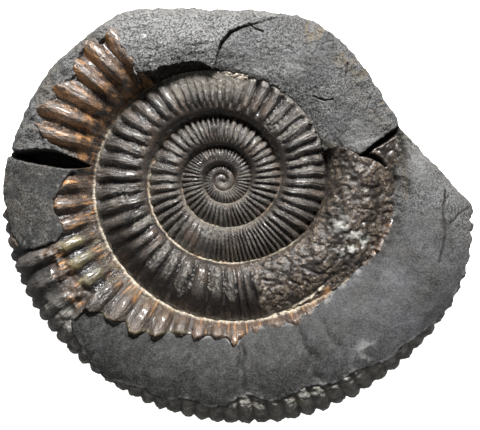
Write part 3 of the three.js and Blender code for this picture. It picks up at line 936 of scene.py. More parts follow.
# The sheet along the bottom and up the right side: direction, inner radius, outer radius
SHEET = [
    (216, 37.0, 38.0), (222, 37.0, 39.4), (228, 36.4, 42.4), (234.4, 35.0, 45.0), (239, 34.8, 45.2),
    (245.4, 33.9, 44.7), (252.5, 32.2, 44.4), (260, 31.3, 44.2), (267.5, 30.8, 44.5), (271, 30.9, 44.1),
    (274, 32.2, 43.2), (277, 31.0, 42.9), (280, 30.2, 43.8), (285, 30.1, 44.2), (291, 30.6, 44.3),
    (298.5, 31.3, 44.9), (305, 31.3, 46.2), (310, 31.5, 47.5), (316, 31.4, 48.0), (322.5, 32.1, 50.2),
    (330, 32.9, 51.5), (340, 33.9, 51.6), (348, 34.5, 52.5), (352, 34.7, 60), (376, 36.2, 60),
]
margin_border = curve_through(MARGIN)
wedge_inner, wedge_outer = curve_through(WEDGE, 1), curve_through(WEDGE, 2)
sheet_inner, sheet_outer = curve_through(SHEET, 1), straight_through(SHEET, 2)
# Number of ribs on the last whorl so far: growth angle, count
LAST_RIBS = [
    (480, -2), (494.5, 0), (525, 4), (541.5, 6), (556.5, 8), (577, 11), (607.5, 15), (628.5, 18),
    (710, 29), (720, 30.4),
]
last_ribs = curve_through(LAST_RIBS)


def arc(angle, radius):
    """An angle as a length along a circle."""
    return np.radians(angle) * radius


def covered_by(direction, radius, points):
    """How far inside a covered place each point is, in mm, and less than 0 on bare shell."""
    ragged = 0.45 * rough(points, 2.0, 4, 50)
    margin = np.minimum(radius - margin_border(direction), arc(178 - direction, 36))
    margin = margin + 0.6 * rough(points, 1.8, 3, 51)
    wedge = np.minimum(radius - wedge_inner(direction), wedge_outer(direction) - radius)
    slope = 200.5 + 0.12 * (36 - radius)
    wedge = np.minimum(wedge, np.minimum(arc(direction - 174, 36), arc(slope - direction, 36)))
    count = last_ribs(direction + 360)
    tooth = 2 * rib_shape(count, 1.5) * (0.4 + 0.9 * scatter(count, 9)) - 1
    near = sheet_inner(direction) - 0.7 * ramp(direction, 262, 250)
    near = near + lerp(0.38, 0.12, ramp(direction, 258, 280)) * tooth
    far = sheet_outer(direction) + 0.5 * np.sin(1.3 + np.pi * count) * ramp(direction, 330, 315)
    below = np.minimum(radius - near, far - radius)
    below = np.minimum(below, arc(direction - 223.5, 38))
    return np.maximum(np.maximum(margin, wedge), below) + ragged


def sheet_level(direction, radius):
    """Height of the covering stone over the shell's plain side: low inside, high at its outer edge."""
    width = np.maximum(sheet_outer(direction) - sheet_inner(direction), 1)
    share = (radius - sheet_inner(direction)) / width
    level = lerp(-0.75, 0.15, np.clip(share, 0, 1))
    level = lerp(level, -0.15, ramp(direction, 305, 335))
    return np.where(direction < 210, 0.05, level)


# %% [markdown]
# The last whorl
#
# Its ribs stand further apart, and each splits in two on its way over the rim, where the halves end in
# a row of small knobs. On the left the ribs are bare, bronze and shiny. Under them they are greenish
# and glassy, then broken and brown, then dark grey.

# %% The section of the last whorl
LAST_START, LAST_END = 485.2, 710.2
KNOB_SHARPNESS = 0.7  # less than 1 gives broad knobs with narrow gaps


def trough_depth(direction, radius):
    """The smooth trough between the seam and the start of the ribs, on the left."""
    return 1.6 * ramp(radius - whorl_edge(direction), 4.8, 0.8) * ramp(direction, 245, 222)


def last_section(direction, rows):
    """The last whorl's section, from under the coil's edge over the side, round the rim and under it."""
    inner, outer = whorl_edge(direction), outline(direction)
    reach = outer - 2.4 - inner
    side = [inner + share * reach for share in (0.10, 0.24, 0.40, 0.56, 0.70, 0.82, 0.92)]
    radii = [inner - 0.8, inner - 0.05, *side]
    radii += [outer - inset for inset in (2.1, 0.7, 0.0, 0.8, 2.4, 4.2, 5.0)]
    heights = [8.0 + 0 * inner, edge_height(direction)]
    heights += [arch_height(radius, direction) - trough_depth(direction, radius) for radius in side]
    heights += [level + 0 * inner for level in (16.1, 13.2, MIDPLANE, 5.2, 2.2, 1.0, 6.0)]
    position = np.interp(np.linspace(0, 1, rows), [0, 0.02, 0.60, 0.92, 1], [0, 1, 9, 13.2, 15])
    return along(radii, position), along(heights, position), position


print("ribs on the last whorl's bare side:", round(float(last_ribs(582.0) - last_ribs(486.0))))

# %% Its ribs, knobs and colours


def last_places(direction, radius, position, points):
    """Named places on the last whorl, each from 0 to 1, that its masks are made of."""
    side = ramp(position, 10.2, 9.0)
    rim = 1 - side
    from_coil = radius - whorl_edge(direction)
    small = ramp(direction, 177, 180) * ramp(direction, 199, 197)
    trough = ramp(from_coil, 3.6, 2.2) * ramp(direction, 196, 201) * ramp(direction, 262, 236)
    green = ramp(direction, 198.5, 200.5) * ramp(direction, 224, 216) * ramp(radius, 35.0, 33.6)
    patchy = ramp(direction, 200, 202) * ramp(direction, 224, 219) * ramp(radius, 33.0, 34.4)
    strip_inside = ramp(radius, sheet_inner(direction) + 1.4, sheet_inner(direction) + 0.4)
    strip_outside = ramp(radius, 38.0, 36.5) * ramp(direction, 300, 290)
    strip = ramp(direction, 222, 232) * np.maximum(strip_inside, strip_outside)
    outer_side = ramp(outline(direction) - radius, 7.5, 5.5) * ramp(direction, 210, 226)
    knobbed = np.maximum(rim, side * outer_side)
    return SimpleNamespace(
        side=side,
        rim=rim,
        upper=ramp(direction, 177, 174),
        small=small,
        trough=trough,
        green=green,
        patchy=patchy * ramp(radius, 38.6, 36.6),
        strip=strip,
        red=ramp(direction, 255, 264) * strip,
        mottled=ramp(rough(points, 1.6, 3, 68), -0.25, 0.35),
        left_edge=ramp(radius, 37.5, 40.0) * ramp(direction, 178, 190),
        outer_side=outer_side,
        knobbed=knobbed,
        low_rim=knobbed * ramp(direction, 204, 226),
        inner_dark=0.8 * ramp(from_coil, 5.0, 1.0) * ramp(direction, 176, 172),
        rusty_foot=ramp(from_coil, 7.0, 3.5),
    )


def along_ribs(count, radius, seed):
    """Noise stretched along the ribs."""
    return rough(np.stack([count * 5.0, radius * 0.35, 0 * radius], axis=-1), 1.0, 3, seed)


def last_orange(count, radius, points, at):
    """Orange streaks along one flank of each rib, rusty feet of the ribs, and flecks."""
    wander = 0.10 * rough(points, 4.0, 2, 61)
    streak = ramp(np.abs(np.mod(count + 0.20 + wander, 1) - 0.5), 0.17, 0.05) * at.side
    orange = streak * at.upper * (0.6 + 0.4 * scatter(count - 0.2, 5)) * ramp(radius, 28, 32)
    orange = orange + 0.32 * at.upper * at.side * at.mottled * at.rusty_foot
    flecks = ramp(along_ribs(count, radius, 62), 0.30, 0.60) * at.side
    flecked = 0.4 * at.upper + 0.8 * at.small + 0.9 * at.patchy + 0.4 * at.red + 0.5 * at.trough
    return orange + flecks * np.clip(flecked, 0, 1)


def last_glassy(direction, radius, points, cover, rib, at):
    """Glassy calcite: on the greenish ribs, at the rib tips, in the trough and in two small glints."""
    x, y = points[..., 0], points[..., 1]
    glass = at.green * ramp(rib + 0.3 * rough(points, 1.5, 2, 60), 0.35, 0.8) * ramp(radius, 29.0, 30.6)
    tips = ramp(direction, 224, 228) * ramp(direction, 262, 250) * ramp(cover, -1.0, -0.1)
    tips = tips * at.side * ramp(radius, 38, 37)
    glints = 0.8 * patch(x, y, (14.8, -44.2), (1.3, 0.7)) + 0.7 * patch(x, y, (30.8, -36.6), (1.5, 0.9), 40)
    spread = glass * (0.85 + 0.5 * rough(points, 2.0, 3, 67)) + 0.5 * tips
    return glass, spread + 0.35 * at.trough * at.mottled + glints


def last_masks(direction, radius, position, points, cover):
    """Where the last whorl is bronze, glassy, darkened or dull, with painted shade between ribs and knobs
    and partly painted light on the lower rim.
    """
    at = last_places(direction, radius, position, points)
    count = last_ribs(direction + 360)
    rib = rib_shape(count, 1.5)
    knob = np.abs(np.cos(2 * np.pi * count)) ** KNOB_SHARPNESS
    glass, glassy = last_glassy(direction, radius, points, cover, rib, at)
    # Painted shade between the ribs, with darker mottling on the side.
    shade_between_ribs = ((1 - rib) + 0.5 * (1 - at.mottled) * (1 - glass)) * at.side * (1 - at.outer_side)
    # On the lower rim, which faces away from the light, the knobs are lighter: partly wear, dust and pale
    # calcite, partly painted light.
    crests = 0.35 * at.strip + (0.3 + 0.9 * knob) * at.knobbed + 0.45 * rib * at.side
    dust = at.low_rim * (0.4 + 0.7 * knob) * ramp(rough(points, 1.8, 3, 64), -0.6, 0.2)
    lit_pale_knobs = 0.12 + 0.35 * knob**2 * ramp(rough(points, 1.3, 3, 74), -0.3, 0.3)
    bronze = (at.upper + at.small) * at.side * (0.55 + 0.45 * at.mottled)
    bronze = bronze + 0.8 * at.patchy + 0.45 * at.strip + 0.5 * at.red + 0.5 * at.trough
    return {
        "rib": rib,
        "rim": at.rim,
        "side": at.side,
        "knob": knob,
        "count": count,
        "across": radius,
        "ribbed": at.side * (1 - 0.7 * glass),
        # Painted shade between the knobs of the rim, as well as between the ribs.
        "groove": np.clip(shade_between_ribs + at.inner_dark + 0.7 * (1 - knob) * at.knobbed, 0, 1),
        "worn": np.clip(crests * (0.7 + 0.7 * rough(points, 1.4, 3, 63)), 0, 1),
        "dusty": np.clip(dust, 0, 1),
        "smooth": 0 * direction,
        "dull": np.clip(at.rim + at.outer_side + at.left_edge + 0.6 * at.patchy + 0.35 * at.strip, 0, 1),
        "broken": np.clip(0.7 * at.patchy * ramp(rough(points, 2, 2, 65), 0.0, 0.3), 0, 1),
        "lime": 0 * direction,
        "chalk_and_light": at.low_rim * lit_pale_knobs,
        "bronze": np.clip(bronze * (0.85 + 0.4 * rough(points, 2.5, 2, 66)), 0, 1),
        "orange": np.clip(last_orange(count, radius, points, at), 0, 1),
        "glassy": np.clip(glassy, 0, 1),
        "patchy": at.patchy,
    }


print("knobs to each rib: 2, sharpness", KNOB_SHARPNESS)

# %% Its relief


def last_relief(direction, radius, points, cover, masks):
    """How far the last whorl's surface stands out from its plain section."""
    count = last_ribs(direction + 360)
    bold = lerp(1.7, 1.2, ramp(direction, 176, 200)) * lerp(1.0, 0.35, ramp(direction, 255, 272))
    lift = 0.75 + 0.5 * scatter(count, 8)
    slow = lerp(5.0, 3.8, ramp(direction, 176, 190))
    reach = ramp(radius - whorl_edge(direction), 0.2, lerp(slow, 1.8, ramp(direction, 222, 245)))
    ribs = bold * lift * (masks["rib"] - 0.55) * masks["side"] * reach
    ribs = ribs + 0.16 * masks["side"] * along_ribs(count, radius, 69)
    band_start = outline(direction) - lerp(5.2, 7.5, ramp(direction, 215, 228))
    outer_band = masks["side"] * ramp(radius, band_start, band_start + 2.2) * ramp(direction, 205, 225)
    ribs = lerp(ribs, -0.55, outer_band)
    knobbed = np.clip(masks["rim"] + outer_band, 0, 1)
    knobs = (masks["knob"] - 0.55) * knobbed * (0.8 + 0.5 * rough(points, 3, 2, 70))
    breaks = masks["patchy"] * (0.9 * rough(points, 2.2, 3, 71) - 0.35)
    skin = 0.06 * rough(points, 0.9, 3, 72) + 0.36 * knobbed * rough(points, 1.3, 4, 73)
    sunk = 1.7 * ramp(cover, -0.05, 0.45) * masks["side"] + 1.6 * masks["rim"] * ramp(direction, 174, 170)
    return ribs + knobs + breaks + skin - sunk


# %% The last whorl's piece
last_direction = np.linspace(LAST_START - 360, LAST_END - 360, 770)
last_radius, last_height, last_position = last_section(last_direction, 128)
last_direction = last_direction[:, None] + 0 * last_radius
last_position = last_position[None, :] + 0 * last_radius
last_base = sheet_points(last_direction, last_radius, last_height)
last_cover = covered_by(last_direction, last_radius, last_base)
last_mask = last_masks(last_direction, last_radius, last_position, last_base, last_cover)
last_rise = last_relief(last_direction, last_radius, last_base, last_cover, last_mask)
seam_gap = last_radius - whorl_edge(last_direction)
last_lime = seam_bead(np.abs(seam_gap), last_direction, last_base) * ramp(last_position, 0.5, 1)
last_mask["lime"] = last_lime
last_rise = last_rise + SEAM_RISE * last_lime
last_sheet = last_base + facing(last_base) * last_rise[..., None]
sink(last_sheet, last_mask, LEFT_CRACK, 7.0, 0.3)
last_sheets = [(last_sheet, keep(last_mask, SHELL_MASKS))]
make_piece("ammonite_last_whorl", last_sheets, "ammonite", shell)

# %% [markdown]
# The mudstone
#
# The stone is the base under everything, the block above the coil, the margin and the wedge on the
# left, and the thin sheet over the last whorl. It is one body, made as two sheets of points so that
# each stays light enough to handle.

# %% Heights of the block above the coil
# Height beside the coil and at the outer edge: direction, inner, outer
BLOCK_HEIGHT = [
    (15, 13.6, 13.2), (45, 13.5, 13.2), (62, 13.6, 13.2), (80, 13.8, 13.6), (92, 14.5, 14.0),
    (102, 16.0, 14.4), (110, 16.5, 14.6), (127, 16.9, 16.0), (335, 17.0, 16.0), (348, 16.4, 15.0),
    (362, 14.6, 14.0), (376, 13.6, 13.2),
]
# Width of the dark recess between the coil and the block: direction, width
RECESS = [
    (15, 0.1), (60, 0.15), (90, 0.3), (95, 0.5), (99, 1.2), (104, 1.7), (115, 1.9), (122, 1.8),
    (126, 2.6), (128.5, 3.6), (131, 0.1), (377, 0.1),
]
TOP_CRACK = [
    (8.0, 31.3), (5.6, 30.7), (4.0, 30.4), (1.5, 29.3), (-0.2, 27.1), (-1.0, 24.4), (-1.4, 21.6),
    (-1.2, 21.6), (-0.8, 24.4), (0.2, 26.8), (1.9, 28.9), (4.2, 30.1),
]
WEST_OF_CRACK = [
    (7.8, 31.6), (4.3, 30.3), (1.7, 29.1), (0, 27), (-0.9, 24.4), (-1.3, 18), (-40, 18), (-40, 50),
    (14, 50), (12, 33),
]
HAIRLINES = [
    [(44.2, -2.0), (43.4, -6.5), (43.9, -11.0), (42.6, -16.4)],
    [(45.0, -8.6), (46.8, -6.8), (49.0, -5.6)],
    [(43.4, -5.0), (44.6, -3.4)],
    [(18.2, 16.6), (20.4, 15.8), (22.0, 15.9)],
    [(25.0, 23.2), (24.6, 20.6)],
    [(5.4, 31.0), (6.6, 30.0), (8.2, 29.4)],
]
block_inside = straight_through(BLOCK_HEIGHT, 1)
block_outside = straight_through(BLOCK_HEIGHT, 2)
recess = straight_through(RECESS)


def layers_of_mud(points):
    """Thin layers that show as streaks, rising a little to the right."""
    along_layers = points[..., 0] + 0.29 * points[..., 1]
    over_layers = points[..., 1] - 0.29 * points[..., 0]
    return rough(np.stack([0.2 * along_layers, over_layers, points[..., 2]], axis=-1), 0.9, 3, 80)


def block_top(direction, share, points):
    """The block's upper face, with its layers, steps and soft swells."""
    x, y = points[..., 0], points[..., 1]
    turn = once(direction)
    bulge = lerp(1.3, 2.2, ramp(turn, 80, 104))
    plain = lerp(block_inside(turn), block_outside(turn), share) + bulge * np.sin(np.pi * share)
    west = ramp(inside_by(x, y, WEST_OF_CRACK), -0.5, 0.3)
    layered = layers_of_mud(points)
    swell = 0.55 * rough(points, 11, 2, 81) + 0.16 * rough(points, 3.5, 2, 82)
    return plain + swell + west * (0.45 + 0.12 * layered) + 0.14 * rough(points, 1.1, 3, 83), west


# %% Heights of the thin sheet over the last whorl
# Soft creases across the sheet: direction and depth
CREASES = [(247.5, 0.35), (260.5, 0.40), (276.0, 0.65), (281.0, 0.35), (296.5, 0.55), (304.5, 0.30)]


def crease_depth(direction, radius, points):
    """Depth of the soft creases, which wander and lean outwards."""
    wander = 1.1 * rough(points, 5, 2, 93)
    total = 0
    for where, depth in CREASES:
        lean = 0.08 * (radius - 38) * np.sign(where - 265)
        away = (arc(direction - where, 38) + wander + lean) / 0.9
        total = total + depth * np.exp(-away**2)
    return total


def sheet_top(direction, radius, points, cover):
    """The stone's face where it lies over the last whorl."""
    creases = crease_depth(direction, radius, points)
    swell = 0.22 * rough(points, 7, 2, 90) + 0.10 * rough(points, 1.8, 3, 91)
    level = sheet_level(direction, radius) + swell - creases * ramp(cover, 0, 2)
    upper_left = ramp(direction, 178, 174)
    margin = upper_left * (0.55 * rough(points, 2.0, 4, 92) + 0.15)
    quick = 2.4 * ramp(cover, 0.05, -0.5) + 2.5 * ramp(cover, -0.3, -1.5)
    slow = 1.3 * ramp(cover, 0.0, -1.2) + 3.6 * ramp(cover, -1.0, -2.4)
    return arch_height(radius, direction) + level + margin - lerp(quick, slow, upper_left)


# %% The stone's sheet of points
STONE_SPLIT = 130.5  # direction at which the block ends and the flank begins
HIGHEST = 19.9  # mm, the limit for single bumps
INNER_ROWS = 20


def stone_sheet(start, end, columns, top_rows, wall_rows):
    """The stone's upper side over a stretch of directions, with what the walls need to join it."""
    direction = np.linspace(start, end, columns)
    inner = lerp(whorl_edge(direction), 21.1, ramp(direction, 358, 368))
    inner = np.where(direction < 16.6, 21.0, inner)
    outer = outline(direction)
    bare = ramp(direction, 171.5, 173.5) * ramp(direction, 351.5, 349.5)
    ragged = np.stack([direction * 0.45, 0 * direction, 0 * direction], axis=-1)
    near = inner + recess(direction) + 0.5 * rough(ragged, 2.2, 3, 97) * ramp(recess(direction), 0.4, 1.5)
    near = near - 1.5 * ramp(direction, 322, 335)
    notch = 0.5 - 0.5 * np.cos(4 * np.pi * last_ribs(direction + 360))
    far = outer - lerp(1.8, 0.60 + 0.5 * notch * ramp(direction, 300, 325), bare)
    share = np.linspace(0, 1, top_rows)[None, :]
    radius = lerp(near[:, None], far[:, None], share)
    turned = direction[:, None] + 0 * radius
    flat = sheet_points(turned, radius, 15 + 0 * radius)
    cover = covered_by(turned, radius, flat)
    block, west = block_top(turned, share, flat)
    border = turned + 1.6 * rough(flat, 2.5, 3, 95) + 0.25 * (radius - 34)
    onto = ramp(border, 127.0, 129.6) * ramp(turned, 362, 334)
    height = lerp(block, sheet_top(turned, radius, flat, np.where(turned > 352, 5, cover)), onto)
    crushed_side = ramp(inside_by(flat[..., 0], flat[..., 1], BLOCK_LOWER_EDGE), 0.0, -0.5)
    inwards = whorl_edge(turned) - radius
    height = lerp(height, block, ramp(turned, 350, 368))
    joining = ramp(turned, 322, 335) * ramp(inwards + 0.5 * rough(flat, 1.8, 3, 96), -2.8, 0.6)
    height = height - 2.4 * crushed_side * joining
    weathered = ramp(outer[:, None] - radius, 6.5, 3.0) * ramp(turned, 66, 58)
    height = height + 0.35 * weathered * rough(flat, 1.4, 3, 123)
    buried = crushed_side * ramp(turned, 335, 345) * ramp(inwards, 0.8, 2.5)
    height = lerp(height, np.minimum(height, 9.0), buried)
    return {
        "direction": direction, "inner": inner, "near": near, "outer": outer, "bare": bare, "share": share,
        "radius": radius, "turned": turned, "flat": flat, "cover": cover, "west": west, "onto": onto,
        "height": height, "wall_rows": wall_rows,
    }


print("the stone is split at", STONE_SPLIT, "degrees")

# %% Walls and base of the stone


def stone_rows(parts):
    """Joins the inner wall, the top, the outer wall and the base into one sheet."""
    outer, bare = parts["outer"], parts["bare"]
    top_in, top_out = parts["height"][:, 0], parts["height"][:, -1]
    far = parts["radius"][:, -1]
    rise = np.linspace(0, 1, INNER_ROWS + 1)[None, :-1]
    ledge = np.clip(rise / 0.6, 0, 1)
    cliff = np.clip((rise - 0.6) / 0.4, 0, 1)
    start = np.minimum(parts["inner"], parts["near"] - 1.0)[:, None]
    wall_in = lerp(start - 0.6, parts["near"][:, None] - 0.35, ledge) + 0.35 * cliff
    beside_block = ramp(parts["direction"], 131, 129.5)[:, None]
    ledge_high = lerp(lerp(8.6, 9.4, ledge), lerp(10.8, 13.4, ledge), beside_block)
    high_in = lerp(ledge_high, top_in[:, None], cliff)
    full = [far, outer - 0.6, outer, outer - 0.7, outer - 2.4]
    under = [far, outer - 4.6, outer - 5.4, outer - 5.4, outer - 8.0]
    full_high = [top_out, 12.0 + 0 * outer, 8.5 + 0 * outer, 3.0 + 0 * outer, 0 * outer]
    under_high = [top_out, 9.0 + 0 * outer, 6.3 + 0 * outer, 3.2 + 0 * outer, 0 * outer]
    place = np.linspace(0, 4, parts["wall_rows"])[1:]
    wall_out = along([lerp(a, b, bare) for a, b in zip(full, under)], place)
    high_out = along([lerp(a, b, bare) for a, b in zip(full_high, under_high)], place)
    base = np.linspace(1, 0, 6)[None, 1:] * wall_out[:, -1:]
    radius = np.concatenate([wall_in, parts["radius"], wall_out, base], axis=1)
    height = np.concatenate([high_in, parts["height"], np.maximum(high_out, 0), 0 * base], axis=1)
    counts = [wall_in.shape[1], parts["radius"].shape[1], wall_out.shape[1], base.shape[1]]
    return sheet_points(parts["direction"][:, None] + 0 * radius, radius, height), counts


def widen(values, counts, shape):
    """Stretches a mask of the top over the walls and the base."""
    before, after = counts[0], counts[2] + counts[3]
    return np.pad(values + np.zeros(shape), ((0, 0), (before, after)), mode="edge")


# %% Marks on the stone
VEIN = [(34.6, 7.6), (36.2, 2.6), (36.4, -4.0)]


def stone_places(parts):
    """Named places on the stone, each from 0 to 1, that its masks are made of."""
    points, turned, radius = parts["flat"], parts["turned"], parts["radius"]
    block = 1 - parts["onto"]
    under_crack = ramp(turned, 175, 179) * ramp(turned, 206, 200)
    bare_edge = ramp(parts["cover"], 0.9, 0.1) * ramp(turned, 225, 235) * parts["onto"]
    return SimpleNamespace(
        x=points[..., 0],
        y=points[..., 1],
        from_rim=outline(turned) - radius,
        block=block,
        west=parts["west"] * block,
        east=(1 - parts["west"]) * block,
        margin=ramp(turned, 178, 174) * parts["onto"],
        wedge=under_crack * ramp(rough(points, 4, 3, 120), -0.2, 0.4),
        chips=under_crack * ramp(rough(points, 1.1, 2, 124), 0.42, 0.60),
        edge=np.clip(bare_edge, 0, 1),
        patches=rough(points, 5, 3, 100),
    )


def tan_stain(parts, at):
    """Iron stains: along the upper right edge and the top edge, on the margin and wedge, in a vein."""
    points, turned = parts["flat"], parts["turned"]
    stained = ramp(at.patches + 0.5 * rough(points, 1.0, 2, 122), -0.1, 0.5)
    east_edge = ramp(at.from_rim, 6.0, 2.5) * ramp(turned, 66, 60) * ramp(turned, 14, 24)
    tan = 0.9 * (east_edge + patch(at.x, at.y, (20.0, 28.4), (4.5, 2.0), -35)) * stained
    tan = tan + 0.45 * ramp(at.from_rim, 2.6, 0.8) * ramp(turned, 60, 75) * at.block
    tan = tan + 0.2 * patch(at.x, at.y, (35.2, 2.8), (2.2, 4.6), -15) * ramp(at.patches, -0.2, 0.3)
    tan = tan + 0.45 * at.margin * ramp(at.patches, -0.1, 0.4)
    vein = ramp(distance_to_line(at.x, at.y, VEIN) + 0.5 * at.patches, 0.7, 0.1)
    return tan + 0.6 * vein + 0.25 * at.wedge


def tone_and_shade(parts, at):
    """Darker stone: painted shade on the bottom sheet and the wedge and in creases, and darker patches on
    the block.
    """
    points, turned = parts["flat"], parts["turned"]
    # Painted shade on the bottom sheet and the wedge, which face away from the light.
    deep_and_shade = 1.3 * ramp(turned, 172, 178) * ramp(turned, 325, 285)
    deep_and_shade = deep_and_shade + 0.50 * ramp(turned, 60, 30) + 0.25 * ramp(turned, 320, 340)
    # Painted shade in the creases.
    deep_and_shade = deep_and_shade + 0.5 * crease_depth(turned, parts["radius"], points) * parts["onto"]
    hidden_ribs = np.cos(2 * np.pi * last_ribs(turned + 360)) * ramp(turned, 215, 230)
    deep_and_shade = deep_and_shade * (0.95 + 0.50 * rough(points, 5, 4, 104)) - 0.12 * hidden_ribs * ramp(turned, 320, 300)
    deep_and_shade = deep_and_shade + 0.5 * at.margin * ramp(at.patches, 0.3, -0.2)
    weathered = ramp(at.from_rim, 7.0, 2.0) * ramp(turned, 62, 50) * at.block
    deep_and_shade = deep_and_shade + 0.6 * weathered * ramp(rough(points, 2.6, 3, 107), -0.1, 0.3)
    deep_and_shade = deep_and_shade + 0.4 * patch(at.x, at.y, (16, 15.5), (3.5, 5.5), 35)
    return deep_and_shade + 0.40 * at.east * ramp(rough(points, 7, 3, 126), 0.0, 0.4)


def pale_tone(parts, at):
    """Paler stone: the layered west of the block, patches by the crack, chips, smears, broken edges."""
    points, turned = parts["flat"], parts["turned"]
    pale = (0.58 + 0.40 * layers_of_mud(points)) * at.west + 0.06 * at.east * ramp(turned, 20, 60)
    pale = pale + 0.30 * patch(at.x, at.y, (-5.5, 27.6), (6, 2.2), 15) * at.block
    pale = pale - 0.15 * ramp(rough(points, 5, 3, 121), 0.1, 0.5)
    pale = pale + 0.30 * patch(at.x, at.y, (8, 24.5), (8, 5), -15) * at.block
    pale = pale + 0.25 * ramp(rough(points, 6, 2, 106), 0.1, 0.5) * at.block
    pale = pale + 0.75 * at.edge * ramp(rough(points, 1.6, 3, 102), -0.15, 0.3) + 0.45 * at.chips
    smear = np.stack([0.5 * (at.x + at.y), 1.4 * (at.y - at.x), 0 * at.x], axis=-1)
    scuffs = 0.08 * ramp(rough(smear, 3.0, 3, 108), 0.05, 0.45)
    scuffs = scuffs + 0.10 * ramp(worms(smear, 4, 109), 0.85, 1.0)
    white = patch(at.x, at.y, (27.5, -34.2), (1.8, 3.2), -30)
    white = white * ramp(rough(points, 2.0, 3, 103), -0.25, 0.25)
    return pale + parts["onto"] * scuffs + 0.06 * ramp(turned, 300, 345) + 0.85 * white


def crushed_stone(parts, at):
    """Where the crushed stretch of the coil runs on into the stone under the crack."""
    turned = parts["turned"]
    into_block = inside_by(at.x, at.y, BLOCK_LOWER_EDGE) + 0.5 * rough(parts["flat"], 1.5, 2, 101)
    near_crack = np.where(turned < 60, ramp(turned, 34, 26), ramp(turned, 360, 367))
    return ramp(into_block, 1.0, -0.4) * near_crack * ramp(at.x, 38.4, 35.4)


def stone_masks(parts):
    """Where the stone is pale, grainy, stained, darker or broken, and where shade is painted."""
    turned = parts["turned"]
    at = stone_places(parts)
    smoother = lerp(1.0, 0.35, ramp(rough(parts["flat"], 8, 3, 125), -0.15, 0.4))
    grainy = 0.6 * at.west + 0.75 * smoother * at.block + 0.8 * at.margin + 0.15 + 0.3 * at.wedge
    # Painted shade in the thin gap between the coil's edge and the block.
    gap_shade = ramp(parts["radius"] - whorl_edge(turned), 0.9, 0.2) * ramp(turned, 128, 122)
    gap_shade = gap_shade * ramp(turned, 38, 50) * ramp(turned, 58, 66)
    ring = patch(at.x, at.y, (-15.2, 28.0), (0.5, 0.4)) - patch(at.x, at.y, (-15.4, 27.9), (0.3, 0.2))
    return {
        "pale": np.clip(pale_tone(parts, at), 0, 1),
        "deep_and_shade": np.clip(tone_and_shade(parts, at), 0, 1),
        "grainy": np.clip(grainy, 0, 1),
        "tan": np.clip(tan_stain(parts, at), 0, 1),
        "broken": np.clip(crushed_stone(parts, at), 0, 1),
        "dark": np.clip(0.9 * gap_shade, 0, 1),
        "chalk_and_light": 0.7 * np.clip(ring, 0, 1),
    }


print("hairline cracks:", len(HAIRLINES), "creases:", len(CREASES))

# %% The stone's two pieces


def stone_piece(name, start, end, columns, top_rows, wall_rows):
    """One piece of the stone, with rough walls, sunken cracks and hairlines."""
    parts = stone_sheet(start, end, columns, top_rows, wall_rows)
    masks = stone_masks(parts)
    base, counts = stone_rows(parts)
    shape = parts["radius"].shape
    masks = {mask: widen(values, counts, shape) for mask, values in masks.items()}
    in_wall = np.zeros(base.shape[:2])
    in_wall[:, counts[0] + counts[1]: -counts[3]] = 1
    wall_noise = in_wall * (0.45 * rough(base, 3.5, 3, 110) + 0.12 * rough(base, 0.9, 2, 111))
    wall_noise = wall_noise * ramp(base[..., 2], 0.0, 1.5)
    in_recess = np.zeros(base.shape[:2])
    in_recess[:, : counts[0]] = 1
    wall_noise = wall_noise + in_recess * 0.9 * rough(base, 1.4, 3, 114)
    # Painted shade on the inner wall that drops beside the coil.
    masks["dark"] = np.maximum(masks["dark"], 0.35 * in_recess)
    masks["tan"] = np.maximum(masks["tan"], in_recess * ramp(rough(base, 1.2, 3, 115), -0.2, 0.3))
    masks["broken"] = np.maximum(masks["broken"], 0.7 * in_recess)
    masks["grainy"] = np.maximum(masks["grainy"], 0.4 * in_wall)
    sheet = base + facing(base) * wall_noise[..., None]
    sheet[..., 2] += 0.5 * masks["broken"] * rough(base, 1.8, 3, 112)
    for corners, floor in [(LEFT_CRACK, 8.0), (RIGHT_CRACK, 8.5), (TOP_CRACK, 14.2)]:
        sink(sheet, masks, corners, floor)
    sheet[..., 2] = np.clip(sheet[..., 2], 0, HIGHEST)
    for line in HAIRLINES:
        away = distance_to_line(sheet[..., 0], sheet[..., 1], line) + 0.1 * rough(sheet, 1.2, 2, 113)
        hair = ramp(away, 0.30, 0.0)
        sheet[..., 2] -= 0.45 * hair * (sheet[..., 2] > 10)
        # Painted shade in the hairline cracks.
        masks["dark"] = np.maximum(masks["dark"], 0.8 * hair)
    make_piece(name, [(sheet, keep(masks, STONE_MASKS))], "mudstone_matrix", mudstone)


stone_piece("mudstone_block", 16.0, STONE_SPLIT, 540, 120, 40)
stone_piece("mudstone_flank", STONE_SPLIT, 376.0, 690, 96, 24)

# %% [markdown]
# The studio
#
# The fossil was photographed from straight above on white, under one broad light at the top of the
# picture. A second, weaker and wider light fills the shadows. The camera looks straight down with the
# top of the picture towards +Y.

# %% Floor, lights and camera
FLOOR_SIZE = 1.2  # metres
FLOOR_DROP = 0.2  # mm under the resting face, so that the two don't fight for the same place
FOSSIL_MIDDLE = (0.003, -0.007, 0.012)


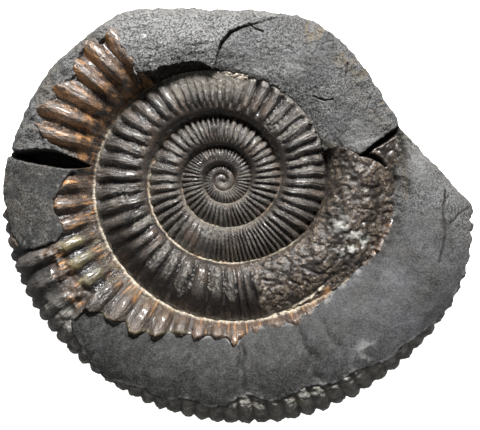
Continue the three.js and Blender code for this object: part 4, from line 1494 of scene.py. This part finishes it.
def soft_light(name, place, size, power):
    """A square area light that points at the fossil."""
    data = bpy.data.lights.new(name, "AREA")
    data.size = size
    data.energy = power
    light = bpy.data.objects.new(name, data)
    light.location = place
    aim = Vector(FOSSIL_MIDDLE) - Vector(place)
    light.rotation_euler = aim.to_track_quat("-Z", "Y").to_euler()
    bpy.context.scene.collection.objects.link(light)


floor_mesh = bpy.data.meshes.new("floor")
half, low = FLOOR_SIZE / 2, -FLOOR_DROP * MM
floor_corners = [(-half, -half, low), (half, -half, low), (half, half, low), (-half, half, low)]
floor_mesh.from_pydata(floor_corners, [], [(0, 1, 2, 3)])
floor = bpy.data.objects.new("floor", floor_mesh)
bpy.context.scene.collection.objects.link(floor)
paper, tree, surface = new_material("white_paper")
surface.inputs["Base Color"].default_value = (0.4, 0.4, 0.4, 1)
surface.inputs["Roughness"].default_value = 0.9
surface.inputs["Emission Color"].default_value = (1, 1, 1, 1)
seen_directly = add(tree, "ShaderNodeLightPath").outputs["Is Camera Ray"]
feed(tree, surface.inputs["Emission Strength"], mix_value(tree, seen_directly, 0.1, 1.2))
floor_mesh.materials.append(paper)

soft_light("key_light", (0.05, 0.37, 0.31), 0.12, 8.0)
soft_light("fill_light", (0.05, -0.10, 0.60), 0.5, 0.45)
world = bpy.data.worlds.new("studio")
world.use_nodes = True
world.node_tree.nodes["Background"].inputs["Color"].default_value = (1, 1, 1, 1)
world.node_tree.nodes["Background"].inputs["Strength"].default_value = 0.07
bpy.context.scene.world = world

PICTURE_WIDTH = 96.0  # mm
PICTURE_CENTRE = (3.6, -7.0)  # mm from the coil's centre
camera_data = bpy.data.cameras.new("camera")
camera_data.lens = 85
camera_data.sensor_width = 36
camera = bpy.data.objects.new("camera", camera_data)
distance = PICTURE_WIDTH * camera_data.lens / camera_data.sensor_width
camera.location = (PICTURE_CENTRE[0] * MM, PICTURE_CENTRE[1] * MM, (distance + 13) * MM)
bpy.context.scene.collection.objects.link(camera)
bpy.context.scene.camera = camera
bpy.context.scene.view_settings.view_transform = "Standard"
print("camera", round(distance), "mm above the shell's crest")
